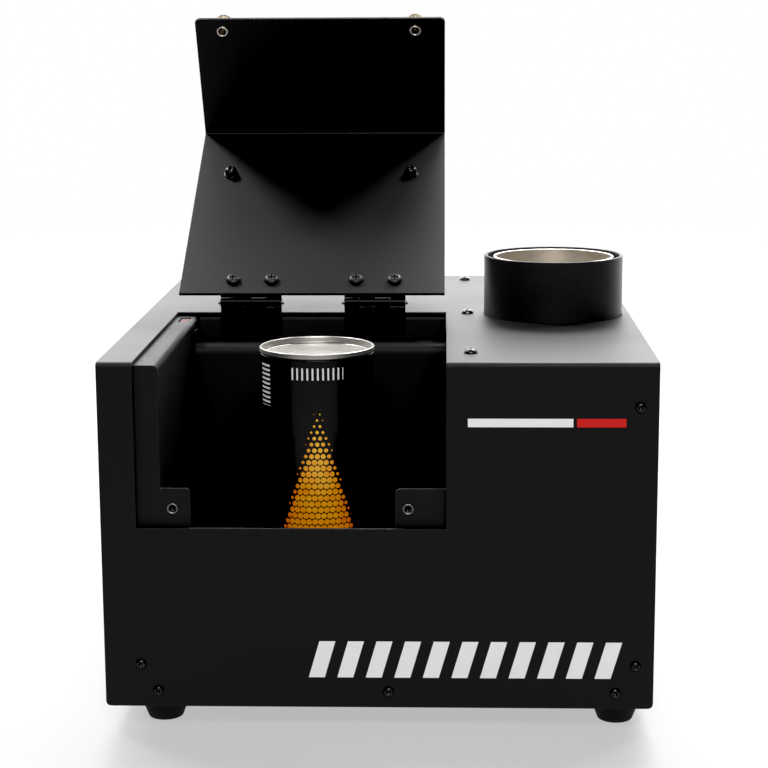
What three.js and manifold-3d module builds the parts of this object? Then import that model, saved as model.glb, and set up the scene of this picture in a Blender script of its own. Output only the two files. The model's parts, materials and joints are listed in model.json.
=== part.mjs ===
// A stage flame machine: a black sheet steel casing with an open can compartment
// under a hinged lid, and a burner under a round chimney.
// Millimetres. X to the right, Y from the front face to the back, Z up from the floor.
import * as THREE from 'three';
import { mergeVertices } from 'three/addons/utils/BufferGeometryUtils.js';
import Module from 'manifold-3d';

const wasm = await Module();
wasm.setup();

// General sizes
const footHeight = 13;
const sheet = 2;
const thinSheet = 1.5;
const innerBend = 1;
const bendRadius = innerBend + sheet;
const cornerRadius = 3;
const gap = 0.3;
const overrun = 5;
const fineSides = 36;
const roundSides = 16;
const smallSides = 8;
const hexSides = 6;
const arcSteps = 4;
const quarterTurn = Math.PI / 2;

// Opening for the can, cut through the front and the top
const leftMargin = 19.5;
const openingWidth = 167.5;
const openingBack = 181;
const openingRise = 101;

// Spray can, upside down, which sets the height of the casing
const can = { height: 157, drop: 5, rise: 28, radius: 32.5, rimProud: 0.6, rimWidth: 1.8, rimHeight: 3 };
const canInset = 93.2;
const canY = 86;

// Chimney, which sets the width of the casing together with the opening
const collarRadius = 42.5;
const collarWall = 2;
const collarDrop = 4;
const collarMargin = { left: 23.5, right: 4.5 };
const chimneyY = 177;
const chimneyRise = 36.6;

// Casing
const rearBay = 174;
const caseWidth = leftMargin + openingWidth + collarMargin.left + collarRadius * 2 + collarMargin.right;
const caseDepth = openingBack + rearBay;
const caseHeight = sheet + can.rise + can.height + can.drop;
const caseLeft = -caseWidth / 2;
const caseRight = caseWidth / 2;
const caseBottom = footHeight;
const caseTop = caseBottom + caseHeight;
const topUnder = caseTop - sheet;
const panelFront = caseDepth - sheet;
const trayFloor = caseBottom + sheet;
const standing = trayFloor + gap;
const trayLeft = caseLeft + gap;
const trayRight = caseRight - gap;
const trayFront = sheet + gap;
const trayBack = panelFront - gap;
const hung = topUnder - gap;
const openingLeft = caseLeft + leftMargin;
const openingRight = openingLeft + openingWidth;
const openingBottom = caseBottom + openingRise;
const canX = openingLeft + canInset;
const canBottom = trayFloor + can.rise;
const chimneyX = caseRight - collarMargin.right - collarRadius;
const collarTop = caseTop + chimneyRise;
const collarHole = collarRadius + gap;

// Button head screws of the casing
const smallScrew = { shank: 1.5, length: 7, head: 2.9, height: 1.65, socket: 1.15, depth: 1 };
const largeScrew = { shank: 2, length: 7, head: 3.8, height: 2.2, socket: 1.45, depth: 1.3 };
const screwRise = { low: 9, side: 24.3 };
const screwDrop = 24;
const screwInset = { leftSide: 20, leftLow: 29.2, middle: 31.4, rightLow: 20.7, rightSide: 10 };
const frontScrews = [
  ['screw_front_left_side', caseLeft + screwInset.leftSide, screwRise.side],
  ['screw_front_left_bottom', caseLeft + screwInset.leftLow, screwRise.low],
  ['screw_front_middle_bottom', openingRight - screwInset.middle, screwRise.low],
  ['screw_front_right_bottom', caseRight - screwInset.rightLow, screwRise.low],
  ['screw_front_right_side', caseRight - screwInset.rightSide, screwRise.side],
  ['screw_front_right_top', caseRight - screwInset.rightSide, caseHeight - screwDrop],
];
const dividerSetback = 6.5;
const dividerLeft = openingRight + dividerSetback;
const dividerRight = dividerLeft + thinSheet;
const topScrewInset = 5.3;
const topScrewX = dividerRight + topScrewInset;
const topScrewFront = 31;
const topScrewBackInset = 21;
const topScrews = [
  ['screw_top_front', topScrewFront],
  ['screw_top_middle', chimneyY],
  ['screw_top_back', caseDepth - topScrewBackInset],
];

// Finishes
function finish(color, roughness, metalness) {
  return new THREE.MeshStandardMaterial({ color, roughness, metalness });
}
const blackPaint = finish(0x1c1c1d, 0.55, 0.1);
const innerPaint = finish(0x141414, 0.45, 0.1);
const tubeSteel = finish(0x9a958c, 0.35, 0.9);
const screwBlack = finish(0x101011, 0.4, 0.6);
const rubber = finish(0x0e0e0e, 0.9, 0);
const brass = finish(0xb4934f, 0.35, 0.9);
const nickel = finish(0xb9b4a8, 0.3, 0.9);
const copper = finish(0xb06b43, 0.35, 0.9);
const tinplate = finish(0xc9c7bd, 0.25, 0.9);
const blackPlastic = finish(0x141414, 0.5, 0);
const redPlastic = finish(0xa2331f, 0.45, 0);
const greenBoard = finish(0x1d5a33, 0.6, 0);
const ceramic = finish(0xe9e4d8, 0.5, 0);
const smokedWindow = finish(0x240807, 0.15, 0);
const zincSteel = finish(0x83868a, 0.45, 0.8);

// Solids from closed geometries, and back
function toSolid(geometry) {
  const bare = geometry.clone();
  bare.deleteAttribute('normal');
  bare.deleteAttribute('uv');
  const merged = mergeVertices(bare);
  return new wasm.Manifold(new wasm.Mesh({
    numProp: 3,
    vertProperties: new Float32Array(merged.attributes.position.array),
    triVerts: new Uint32Array(merged.index.array),
  }));
}

function toGeometry(solid) {
  const mesh = solid.getMesh();
  const corners = new Float32Array(mesh.vertProperties);
  const geometry = new THREE.BufferGeometry();
  geometry.setAttribute('position', new THREE.BufferAttribute(corners, 3));
  geometry.setIndex(new THREE.BufferAttribute(new Uint32Array(mesh.triVerts), 1));
  geometry.computeVertexNormals();
  return geometry;
}

function join(first, ...others) {
  return toGeometry(others.reduce((sum, other) => sum.add(toSolid(other)), toSolid(first)));
}

function cut(first, ...others) {
  return toGeometry(others.reduce((rest, other) => rest.subtract(toSolid(other)), toSolid(first)));
}

function common(first, second) {
  return toGeometry(toSolid(first).intersect(toSolid(second)));
}

// A box between two values on each axis
function box(x0, x1, y0, y1, z0, z1) {
  const geometry = new THREE.BoxGeometry(x1 - x0, y1 - y0, z1 - z0);
  return geometry.translate((x0 + x1) / 2, (y0 + y1) / 2, (z0 + z1) / 2);
}

// A body of revolution about a vertical axis, from [radius, height] pairs, bottom first
function turned(profile, sides, x = 0, y = 0, z = 0) {
  const points = profile.map(([radius, height]) => new THREE.Vector2(radius, height));
  return new THREE.LatheGeometry(points, sides).rotateX(quarterTurn).translate(x, y, z);
}

function rod(radius, bottom, top, sides, x = 0, y = 0) {
  return turned([[0, bottom], [radius, bottom], [radius, top], [0, top]], sides, x, y);
}

function ring(inner, outer, bottom, top, sides, x = 0, y = 0) {
  const section = [[inner, bottom], [outer, bottom], [outer, top], [inner, top], [inner, bottom]];
  return turned(section, sides, x, y);
}

// Turned bodies laid down: heights run towards +X, or towards +Y
function alongX(geometry, x, y, z) {
  return geometry.rotateY(quarterTurn).translate(x, y, z);
}

function alongY(geometry, x, y, z) {
  return geometry.rotateX(-quarterTurn).translate(x, y, z);
}

function rodX(radius, x0, x1, y, z, sides) {
  return alongX(rod(radius, x0, x1, sides), 0, y, z);
}

function rodY(radius, y0, y1, x, z, sides) {
  return alongY(rod(radius, y0, y1, sides), x, 0, z);
}

// An outline from [a, b, radius] corners, each rounded with its own radius
function outline(corners) {
  const shape = new THREE.Shape();
  corners.forEach(([a, b, radius = 0], index) => {
    const last = corners.at(index - 1);
    const next = corners[(index + 1) % corners.length];
    const corner = new THREE.Vector2(a, b);
    const back = new THREE.Vector2(last[0] - a, last[1] - b).normalize();
    const ahead = new THREE.Vector2(next[0] - a, next[1] - b).normalize();
    const reach = radius / Math.tan(back.angleTo(ahead) / 2);
    const start = corner.clone().addScaledVector(back, reach);
    const end = corner.clone().addScaledVector(ahead, reach);
    if (index === 0) {
      shape.moveTo(start.x, start.y);
    } else {
      shape.lineTo(start.x, start.y);
    }
    if (radius > 0) {
      shape.quadraticCurveTo(a, b, end.x, end.y);
    }
  });
  shape.closePath();
  return shape;
}

// Prisms: the outline lies square to the axis in the name
function prismZ(corners, z0, z1) {
  const options = { depth: z1 - z0, bevelEnabled: false, curveSegments: arcSteps };
  return new THREE.ExtrudeGeometry(outline(corners), options).translate(0, 0, z0);
}

function turnAxes(geometry, first, second, third) {
  const axes = [first, second, third].map((axis) => new THREE.Vector3(...axis));
  return geometry.applyMatrix4(new THREE.Matrix4().makeBasis(...axes));
}

function prismX(yzCorners, x0, x1) {
  return turnAxes(prismZ(yzCorners, x0, x1), [0, 1, 0], [0, 0, 1], [1, 0, 0]);
}

function prismY(xzCorners, y0, y1) {
  return turnAxes(prismZ(xzCorners, -y1, -y0), [1, 0, 0], [0, 0, 1], [0, -1, 0]);
}

function roundedRect(a0, a1, b0, b1, radius) {
  return [[a0, b0, radius], [a1, b0, radius], [a1, b1, radius], [a0, b1, radius]];
}

// A pipe through corner points, with an arc of the bend radius at each inner corner
function pipe(points, radius, bend, steps) {
  const corners = points.map((point) => new THREE.Vector3(...point));
  const path = new THREE.CurvePath();
  let from = corners[0];
  corners.slice(1, -1).forEach((corner, index) => {
    const back = corners[index].clone().sub(corner).normalize();
    const ahead = corners[index + 2].clone().sub(corner).normalize();
    const start = corner.clone().addScaledVector(back, bend);
    const end = corner.clone().addScaledVector(ahead, bend);
    path.add(new THREE.LineCurve3(from, start));
    path.add(new THREE.QuadraticBezierCurve3(start, corner, end));
    from = end;
  });
  path.add(new THREE.LineCurve3(from, corners.at(-1)));
  const section = new THREE.Shape();
  section.absarc(0, 0, radius, 0, 2 * Math.PI);
  const options = { steps, extrudePath: path, curveSegments: smallSides / 2, bevelEnabled: false };
  return new THREE.ExtrudeGeometry(section, options);
}

const group = new THREE.Group();
function add(name, geometry, material, parent = group) {
  const mesh = new THREE.Mesh(geometry, material);
  mesh.name = name;
  parent.add(mesh);
}

// Casing cover: the front and the top in one bent sheet
function casingCover() {
  const sides = [
    [0, caseBottom], [sheet, caseBottom], [sheet, topUnder, innerBend],
    [caseDepth, topUnder], [caseDepth, caseTop], [0, caseTop, bendRadius],
  ];
  const front = [
    [caseLeft, caseBottom, cornerRadius], [caseRight, caseBottom, cornerRadius],
    [caseRight, caseTop], [caseLeft, caseTop],
  ];
  const bent = common(prismX(sides, caseLeft, caseRight), prismY(front, 0, caseDepth));
  const opening = box(openingLeft, openingRight, -overrun, openingBack, openingBottom, caseTop + overrun);
  const chimney = rod(collarHole, topUnder - overrun, caseTop + overrun, fineSides, chimneyX, chimneyY);
  const frontHoles = frontScrews.map(([, x, rise]) => (
    rodY(smallScrew.shank + gap, -overrun, overrun, x, caseBottom + rise, smallSides)));
  const topHoles = topScrews.map(([, y]) => (
    rod(largeScrew.shank + gap, topUnder - overrun, caseTop + overrun, smallSides, topScrewX, y)));
  return cut(bent, opening, chimney, ...frontHoles, ...topHoles);
}
add('casing_cover', casingCover(), blackPaint);

// Base tray: the floor, both side walls and the flanges that the cover is screwed to
const lowFlange = 30;
const sideFlange = 16;
const liningLap = 6.5;
const flangeSpare = 1;
const topFlange = leftMargin - liningLap - flangeSpare;
const footStud = 3;
const footInset = { left: 29.8, right: 18.8, ends: 22 };
const footXs = { left: caseLeft + footInset.left, right: caseRight - footInset.right };
const footYs = { front: footInset.ends, rear: caseDepth - footInset.ends };
const feet = [
  ['foot_front_left', footXs.left, footYs.front],
  ['foot_front_right', footXs.right, footYs.front],
  ['foot_rear_left', footXs.left, footYs.rear],
  ['foot_rear_right', footXs.right, footYs.rear],
];
function baseTray() {
  const walls = prismY([
    [trayLeft, caseBottom, bendRadius], [trayRight, caseBottom, bendRadius], [trayRight, hung],
    [trayRight - sheet, hung], [trayRight - sheet, trayFloor, innerBend],
    [trayLeft + sheet, trayFloor, innerBend], [trayLeft + sheet, hung], [trayLeft, hung],
  ], trayFront, trayBack);
  const inLeft = trayLeft + sheet / 2;
  const inRight = trayRight - sheet / 2;
  const under = caseBottom + sheet / 2;
  const lowTop = caseBottom + lowFlange;
  const slim = trayLeft + topFlange;
  const frontBack = trayFront + sheet;
  const rearFront = trayBack - sheet;
  const flanges = [
    box(inLeft, inRight, trayFront, frontBack, under, lowTop),
    box(inLeft, inRight, rearFront, trayBack, under, lowTop),
    box(inLeft, slim, trayFront, frontBack, under, hung),
    box(inLeft, slim, rearFront, trayBack, under, hung),
    box(trayRight - sideFlange, inRight, trayFront, frontBack, under, hung),
    box(trayRight - sideFlange, inRight, rearFront, trayBack, under, hung),
    box(inLeft, slim, trayFront, trayBack, hung - sheet, hung),
    box(trayRight - topFlange, inRight, trayFront, trayBack, hung - sheet, hung),
  ];
  const notch = rod(collarHole + sheet, hung - sheet * 2, caseTop, fineSides, chimneyX, chimneyY);
  const studHoles = feet.map(([, x, y]) => rod(footStud + gap, 0, caseTop / 2, roundSides, x, y));
  const screwHoles = frontScrews.map(([, x, rise]) => (
    rodY(smallScrew.shank + gap, 0, overrun, x, caseBottom + rise, smallSides)));
  return cut(join(walls, ...flanges), notch, ...studHoles, ...screwHoles);
}
add('base_tray', baseTray(), blackPaint);

// Rubber feet, each with its stud through the tray
const footTopRadius = 13.5;
const footBottomRadius = 9.5;
const footEdge = 1.5;
const footRecess = 4.5;
const footRecessDepth = 3;
const studRise = 5;
function foot() {
  return turned([
    [0, footRecessDepth], [footRecess, footRecessDepth], [footRecess, 0],
    [footBottomRadius - footEdge, 0], [footBottomRadius, footEdge], [footTopRadius, footHeight],
    [footStud, footHeight], [footStud, footHeight + sheet + studRise],
    [0, footHeight + sheet + studRise],
  ], roundSides);
}
feet.forEach(([name, x, y]) => add(name, foot().translate(x, y, 0), rubber));

// Compartment floor: an inverted channel that stands on the tray
const deckRise = 15;
const deckFront = 9;
const deckTop = trayFloor + deckRise;
const backWallInset = 26;
const backWallFront = openingBack - backWallInset;
const deckBack = backWallFront + thinSheet * 2;
const socketRadius = 12;
function compartmentFloor() {
  const channel = prismX([
    [deckFront, standing], [deckFront + thinSheet, standing],
    [deckFront + thinSheet, deckTop - thinSheet], [deckBack - thinSheet, deckTop - thinSheet],
    [deckBack - thinSheet, standing], [deckBack, standing],
    [deckBack, deckTop, bendRadius], [deckFront, deckTop, bendRadius],
  ], trayLeft + sheet + gap, dividerLeft - gap);
  return cut(channel, rod(socketRadius + gap, standing, deckTop + overrun, roundSides, canX, canY));
}
add('compartment_floor', compartmentFloor(), innerPaint);

// Threaded inserts that take the lid's thumb screws
const insert = { rise: 10, bore: 1.95, radius: 2.7, proud: 0.5, length: 6 };
const insertInset = { left: 19.3, right: 20.5 };
const insertXs = { left: openingLeft + insertInset.left, right: openingRight - insertInset.right };
const insertZ = openingBottom + insert.rise;
const flangeSetback = 2.4;
const flangeFront = sheet + flangeSetback;
const flangeBack = flangeFront + thinSheet;
function insertSleeve(x) {
  const front = flangeFront - insert.proud;
  return rodY(insert.radius, front, front + insert.length, x, insertZ, roundSides);
}

function insertBore(x) {
  return rodY(insert.bore, 0, flangeFront + insert.length + overrun, x, insertZ, smallSides);
}

// Left lining of the compartment: a ledge under the lid, a wall and a front flange
const ledgeTop = hung;
const ledgeUnder = ledgeTop - thinSheet;
const lipInset = 0.4;
const lipFront = openingBack - lipInset;
const rearLedge = 16;
const rearLedgeBack = openingBack + rearLedge;
const ledgeEnd = lipFront - gap;
const liningInset = 13;
const liningInner = openingLeft + liningInset;
const liningOuter = liningInner - thinSheet;
const liningBend = 3;
const liningLeft = openingLeft - liningLap;
const tabHeight = 21.2;
const tabLap = 8;
const tabTop = openingBottom + tabHeight;
const tabBottom = openingBottom - tabLap;
const leftTabReach = 16.2;
const leftTabEdge = liningInner + leftTabReach;
const wallFoot = deckTop + gap;
const slot = { inset: 3.2, width: 6.3, length: 17.5, setback: 7.5 };
const slotLeft = openingLeft + slot.inset;
const slotRight = slotLeft + slot.width;
const slotBack = ledgeEnd - slot.setback;
const slotFront = slotBack - slot.length;
function linerLeft() {
  const section = [
    [liningLeft, ledgeUnder], [liningOuter, ledgeUnder, liningBend - thinSheet],
    [liningOuter, wallFoot], [liningInner, wallFoot],
    [liningInner, ledgeTop, liningBend], [liningLeft, ledgeTop],
  ];
  const strip = prismY([
    [liningLeft, tabBottom], [liningInner, tabBottom],
    [liningInner, ledgeTop, liningBend], [liningLeft, ledgeTop],
  ], flangeFront, flangeBack);
  const tab = prismY([
    [liningOuter, tabBottom], [leftTabEdge, tabBottom],
    [leftTabEdge, tabTop, cornerRadius], [liningOuter, tabTop],
  ], flangeFront, flangeBack);
  const lined = join(prismY(section, flangeFront, ledgeEnd), strip, tab, insertSleeve(insertXs.left));
  const slotCut = box(slotLeft, slotRight, slotFront, slotBack, ledgeUnder - overrun, hung + overrun);
  return cut(lined, slotCut, insertBore(insertXs.left));
}
add('liner_left', linerLeft(), innerPaint);

// Rear ledge with its hanging lip, which carries the hinges
const lipDrop = 14;
const cellLeft = liningInner + gap;
const cellRight = dividerLeft - gap;
function linerRear() {
  return prismX([
    [lipFront, ledgeTop - lipDrop], [lipFront + thinSheet, ledgeTop - lipDrop],
    [lipFront + thinSheet, ledgeUnder], [rearLedgeBack, ledgeUnder],
    [rearLedgeBack, ledgeTop], [lipFront, ledgeTop, bendRadius],
  ], cellLeft, cellRight);
}
add('liner_rear', linerRear(), innerPaint);

// Back wall of the compartment, folded back at its top under the rear ledge's lip
const backFold = 6;
const backFoldLap = 8;
function compartmentBack() {
  const top = ledgeTop - lipDrop - gap;
  const end = lipFront + backFoldLap;
  return prismX([
    [backWallFront, wallFoot], [backWallFront + thinSheet, wallFoot],
    [backWallFront + thinSheet, top - thinSheet, backFold - thinSheet],
    [end, top - thinSheet], [end, top], [backWallFront, top, backFold],
  ], cellLeft, cellRight);
}
add('compartment_back', compartmentBack(), innerPaint);

// Dividing wall between the can and the burner, with the top flange that the screws hold
const dividerEndGap = { front: 0.7, rear: 0.3 };
const dividerFront = trayFront + sheet + dividerEndGap.front;
const dividerBack = trayBack - sheet - dividerEndGap.rear;
const dividerFlange = topScrewInset * 2;
const rightTabReach = 27.5;
const rightTabEdge = openingRight - rightTabReach;
const pipeRadius = 2.5;
const pipeRise = 7;
const pipeHeight = trayFloor + pipeRise;
const pipeClearance = 1;
function dividerWall() {
  const plate = box(dividerLeft, dividerRight, dividerFront, dividerBack, standing, hung);
  const flange = box(
    dividerLeft, dividerRight + dividerFlange, dividerFront, dividerBack, hung - thinSheet, hung);
  const tab = prismY([
    [rightTabEdge, tabBottom], [dividerRight, tabBottom],
    [dividerRight, tabTop], [rightTabEdge, tabTop, cornerRadius],
  ], flangeFront, flangeBack);
  const holes = topScrews.map(([, y]) => (
    rod(largeScrew.shank + gap, ledgeUnder, caseTop, smallSides, topScrewX, y)));
  const pipeHole = rodX(
    pipeRadius + pipeClearance, dividerLeft - overrun, dividerRight + overrun,
    canY, pipeHeight, smallSides);
  const wall = join(plate, flange, tab, insertSleeve(insertXs.right));
  return cut(wall, insertBore(insertXs.right), pipeHole, ...holes);
}
add('divider_wall', dividerWall(), innerPaint);

// Spray can on its valve stem
const canDome = { edge: 6, depth: 12 };
const canShoulder = 13;
const canNeck = { radius: 13.5, height: 4 };
const stem = { radius: 2, length: 7 };
function sprayCan() {
  const rim = can.radius + can.rimProud;
  const inside = rim - can.rimWidth;
  return turned([
    [0, -stem.length], [stem.radius, -stem.length], [stem.radius, 0],
    [canNeck.radius, 0], [canNeck.radius, canNeck.height],
    [can.radius, canNeck.height + canShoulder], [can.radius, can.height - can.rimHeight],
    [rim, can.height - can.rimHeight], [rim, can.height], [inside, can.height],
    [inside, can.height - canDome.edge], [inside / 2, can.height - canDome.depth + canDome.edge / 4],
    [0, can.height - canDome.depth],
  ], fineSides, canX, canY, canBottom);
}
add('spray_can', sprayCan(), tinplate);

// Cradle that the can's shoulder sits in, and the socket for its stem
const cradle = { wall: 2.9, above: 4.7, flange: 6, base: 2.5, seatDrop: 0.4 };
function canCradle() {
  const inner = can.radius + gap * 2;
  const outer = inner + cradle.wall;
  const flange = outer + cradle.flange;
  const throat = canNeck.radius + gap * 2;
  const seatLow = canBottom + canNeck.height - cradle.seatDrop;
  const seatHigh = seatLow + canShoulder;
  const rim = seatHigh + cradle.above;
  return turned([
    [throat, wallFoot], [flange, wallFoot], [flange, wallFoot + cradle.base],
    [outer, wallFoot + cradle.base], [outer, rim],
    [inner, rim], [inner, seatHigh], [throat, seatLow], [throat, wallFoot],
  ], fineSides, canX, canY);
}
add('can_cradle', canCradle(), blackPlastic);

const socketHead = 9;
function canSocket() {
  const top = canBottom - gap;
  const bore = stem.radius + gap;
  const boreFloor = canBottom - stem.length - gap;
  return turned([
    [0, standing], [socketRadius, standing], [socketRadius, deckTop - thinSheet],
    [socketHead, deckTop], [socketHead, top], [bore, top], [bore, boreFloor], [0, boreFloor],
  ], roundSides, canX, canY);
}
add('can_socket', canSocket(), brass);

// Solenoid valve with its plunger
const valve = { inset: 17, width: 32, length: 26, height: 18, coil: 12.8, coilTop: 45, floor: 21 };
const plunger = { radius: 5, length: 21 };
const valveLeft = dividerRight + valve.inset;
const valveX = valveLeft + valve.width / 2;
function solenoidValve() {
  const half = valve.length / 2;
  const blockTop = standing + valve.height;
  const block = box(valveLeft, valveLeft + valve.width, canY - half, canY + half, standing, blockTop);
  const coil = rod(valve.coil, standing, standing + valve.coilTop, roundSides, valveX, canY);
  const bore = rod(
    plunger.radius + gap, standing + valve.floor, caseTop, roundSides, valveX, canY);
  return cut(join(block, coil), bore);
}
add('solenoid_valve', solenoidValve(), zincSteel);

function solenoidPlunger() {
  const bottom = standing + valve.floor + gap;
  return rod(plunger.radius, bottom, bottom + plunger.length, roundSides, valveX, canY);
}
add('solenoid_plunger', solenoidPlunger(), nickel);

// Fuel pipes: from the can socket to the valve, and from the valve to the nozzle
const inletStart = canX + socketRadius + gap;
add('fuel_inlet_pipe', rodX(
  pipeRadius, inletStart, valveLeft - gap, canY, pipeHeight, smallSides), copper);

const bridgeRise = 77;
const bridgeTop = trayFloor + bridgeRise;
const nozzle = { flange: 8, flangeHeight: 4, neck: 5, drop: 9, tip: 4.5, rise: 12, bore: 1.2 };
const nozzleFoot = bridgeTop - thinSheet - nozzle.drop;
const pipeBend = 9;
const pipeSteps = 26;
function fuelOutletPipe() {
  return pipe([
    [valveLeft + valve.width + gap, canY, pipeHeight], [chimneyX + pipeBend, canY, pipeHeight],
    [chimneyX + pipeBend, canY + valve.length + pipeBend, pipeHeight],
    [chimneyX, canY + valve.length + pipeBend * 3, pipeHeight],
    [chimneyX, chimneyY, pipeHeight], [chimneyX, chimneyY, nozzleFoot - gap],
  ], pipeRadius, pipeBend, pipeSteps);
}
add('fuel_outlet_pipe', fuelOutletPipe(), copper);

function burnerNozzle() {
  const seat = bridgeTop + gap;
  return turned([
    [nozzle.bore, nozzleFoot], [nozzle.neck, nozzleFoot], [nozzle.neck, seat],
    [nozzle.flange, seat], [nozzle.flange, seat + nozzle.flangeHeight],
    [nozzle.tip, seat + nozzle.rise], [nozzle.bore, seat + nozzle.rise], [nozzle.bore, nozzleFoot],
  ], roundSides, chimneyX, chimneyY);
}
add('burner_nozzle', burnerNozzle(), brass);

// Spark electrodes on both sides of the nozzle
const electrode = { spread: 14, ceramic: 3.6, collar: 5.5, collarHeight: 3, drop: 12, rise: 22 };
const electrodeWire = { radius: 1.2, rise: 9, tip: 2.5, bend: 3, steps: 7 };
function sparkElectrode(side) {
  const x = chimneyX + side * electrode.spread;
  const seat = bridgeTop + gap;
  const top = seat + electrode.rise;
  const body = turned([
    [0, bridgeTop - electrode.drop], [electrode.ceramic, bridgeTop - electrode.drop],
    [electrode.ceramic, seat], [electrode.collar, seat], [electrode.collar, seat + electrode.collarHeight],
    [electrode.ceramic, seat + electrode.collarHeight], [electrode.ceramic, top], [0, top],
  ], smallSides, x, chimneyY);
  const wire = pipe([
    [x, chimneyY, top - electrodeWire.bend], [x, chimneyY, top + electrodeWire.bend],
    [chimneyX + side * electrodeWire.tip, chimneyY, top + electrodeWire.rise],
  ], electrodeWire.radius, electrodeWire.bend, electrodeWire.steps);
  return join(body, wire);
}
add('electrode_left', sparkElectrode(-1), ceramic);
add('electrode_right', sparkElectrode(1), ceramic);

// Burner bridge, a bent strap that carries the nozzle and the flame tube
const tube = { inset: 3.7, wall: 1.3, flange: 6, flangeHeight: 1.5, below: 0.8 };
const tubeRadius = collarRadius - collarWall - tube.inset;
const tubeFlange = tubeRadius + tube.flange;
const bridge = { side: 3.5, end: 4.5, wallGap: 0.7, foot: 12 };
const bridgeLeft = chimneyX - tubeFlange - bridge.side;
const bridgeRight = trayRight - sheet - bridge.wallGap;
const bridgeFront = chimneyY - tubeFlange - bridge.end;
const bridgeBack = chimneyY + tubeFlange + bridge.end;
function burnerBridge() {
  const strap = prismY([
    [bridgeLeft, standing], [bridgeLeft + bridge.foot, standing],
    [bridgeLeft + bridge.foot, standing + thinSheet], [bridgeLeft + thinSheet, standing + thinSheet],
    [bridgeLeft + thinSheet, bridgeTop - thinSheet], [bridgeRight - thinSheet, bridgeTop - thinSheet],
    [bridgeRight - thinSheet, standing + thinSheet], [bridgeRight - bridge.foot, standing + thinSheet],
    [bridgeRight - bridge.foot, standing], [bridgeRight, standing],
    [bridgeRight, bridgeTop, bendRadius], [bridgeLeft, bridgeTop, bendRadius],
  ], bridgeFront, bridgeBack);
  const nozzleHole = rod(nozzle.neck + gap, nozzleFoot, caseTop, roundSides, chimneyX, chimneyY);
  const electrodeHoles = [-1, 1].map((side) => rod(
    electrode.ceramic + gap, nozzleFoot, caseTop, smallSides,
    chimneyX + side * electrode.spread, chimneyY));
  return cut(strap, nozzleHole, ...electrodeHoles);
}
add('burner_bridge', burnerBridge(), zincSteel);

// Flame tube, and the collar that stands round it through the cover
function flameTube() {
  const seat = bridgeTop + gap;
  const bore = tubeRadius - tube.wall;
  return turned([
    [bore, seat], [tubeFlange, seat], [tubeFlange, seat + tube.flangeHeight],
    [tubeRadius, seat + tube.flangeHeight], [tubeRadius, collarTop - tube.below],
    [bore, collarTop - tube.below], [bore, seat],
  ], fineSides, chimneyX, chimneyY);
}
add('flame_tube', flameTube(), tubeSteel);
add('chimney_collar', ring(collarRadius - collarWall, collarRadius, topUnder - collarDrop, collarTop,
  fineSides, chimneyX, chimneyY), blackPaint);

// Electrics on the tray behind the compartment
function standingBlock(left, front, size) {
  const sides = roundedRect(left, left + size.width, front, front + size.length, size.corner);
  return prismZ(sides, standing, standing + size.height);
}

const transformer = { inset: 23, behind: 11, width: 50, length: 50, height: 45, corner: 4 };
add('spark_transformer', standingBlock(
  chimneyX - transformer.inset, bridgeBack + transformer.behind, transformer), blackPlastic);

const supply = { inset: 30, behind: 8, width: 100, length: 100, height: 40, corner: 2 };
add('power_supply', standingBlock(
  caseLeft + supply.inset, rearLedgeBack + supply.behind, supply), zincSteel);

// Rear panel and its fittings. Each rise is a height above the underside of the casing.
const inlet = { inset: 52, rise: 48, width: 66, height: 30, corner: 4, flange: 2.5, wall: 2 };
const inletX = caseRight - inlet.inset;
const recess = { offset: 13.5, width: 26, height: 19, corner: 4, depth: 15 };
const recessX = inletX + recess.offset;
const pin = { width: 2, height: 5, length: 11, spread: 7, drop: 3.5 };
const rocker = { offset: 19, width: 12, height: 18, depth: 8, proud: 4, dip: 2 };
const rockerTiltDegrees = 8;
const rockerX = inletX - rocker.offset;
const socket = { rise: 48, shell: 11.6, flange: 13, flangeHeight: 2.4, wall: 1.6, depth: 17, floor: 2 };
const socketInset = { in: 162, out: 122 };
const socketXs = { in: caseLeft + socketInset.in, out: caseLeft + socketInset.out };
const pane = { inset: 58, rise: 112, width: 52, height: 21, proud: 0.6, lip: 2 };
const paneX = caseLeft + pane.inset;
const button = { rise: 86, radius: 4, lip: 1.2, lipHeight: 1.5, proud: 2, travel: 1, spacing: 14.4 };
const buttonPlaceShares = [-1.5, -0.5, 0.5, 1.5];
const buttonXs = buttonPlaceShares.map((share) => paneX + share * button.spacing);
const frontProud = smallScrew.height;
const panelGap = caseDepth + gap;
const rockerTilt = THREE.MathUtils.degToRad(rockerTiltDegrees);
const rearProud = rocker.proud * Math.cos(rockerTilt) + rocker.height / 2 * Math.sin(rockerTilt);
const rockerPocket = Math.hypot(rocker.height / 2, rocker.proud) + gap;

// A solid with a rounded outline about a place on the rear panel, from one depth to another
function fitting(x, rise, width, height, corner, y0, y1) {
  const z = caseBottom + rise;
  return prismY(roundedRect(x - width / 2, x + width / 2, z - height / 2, z + height / 2, corner), y0, y1);
}

function rearPanel() {
  const front = panelFront - overrun;
  const back = caseDepth + overrun;
  const outer = roundedRect(trayLeft, trayRight, caseBottom, hung, cornerRadius);
  const plate = prismY(outer, panelFront, caseDepth);
  const inner = gap + inlet.wall;
  const inletHole = fitting(
    inletX, inlet.rise, inlet.width - inner * 2, inlet.height - inner * 2, inlet.corner, front, back);
  const socketHoles = Object.values(socketXs).map((x) => (
    rodY(socket.shell + gap, front, back, x, caseBottom + socket.rise, roundSides)));
  const windowHole = fitting(paneX, pane.rise, pane.width, pane.height, 0, front, back);
  const buttonHoles = buttonXs.map((x) => (
    rodY(button.radius + gap, front, back, x, caseBottom + button.rise, roundSides)));
  return cut(plate, inletHole, ...socketHoles, windowHole, ...buttonHoles);
}
add('rear_panel', rearPanel(), blackPaint);

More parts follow.
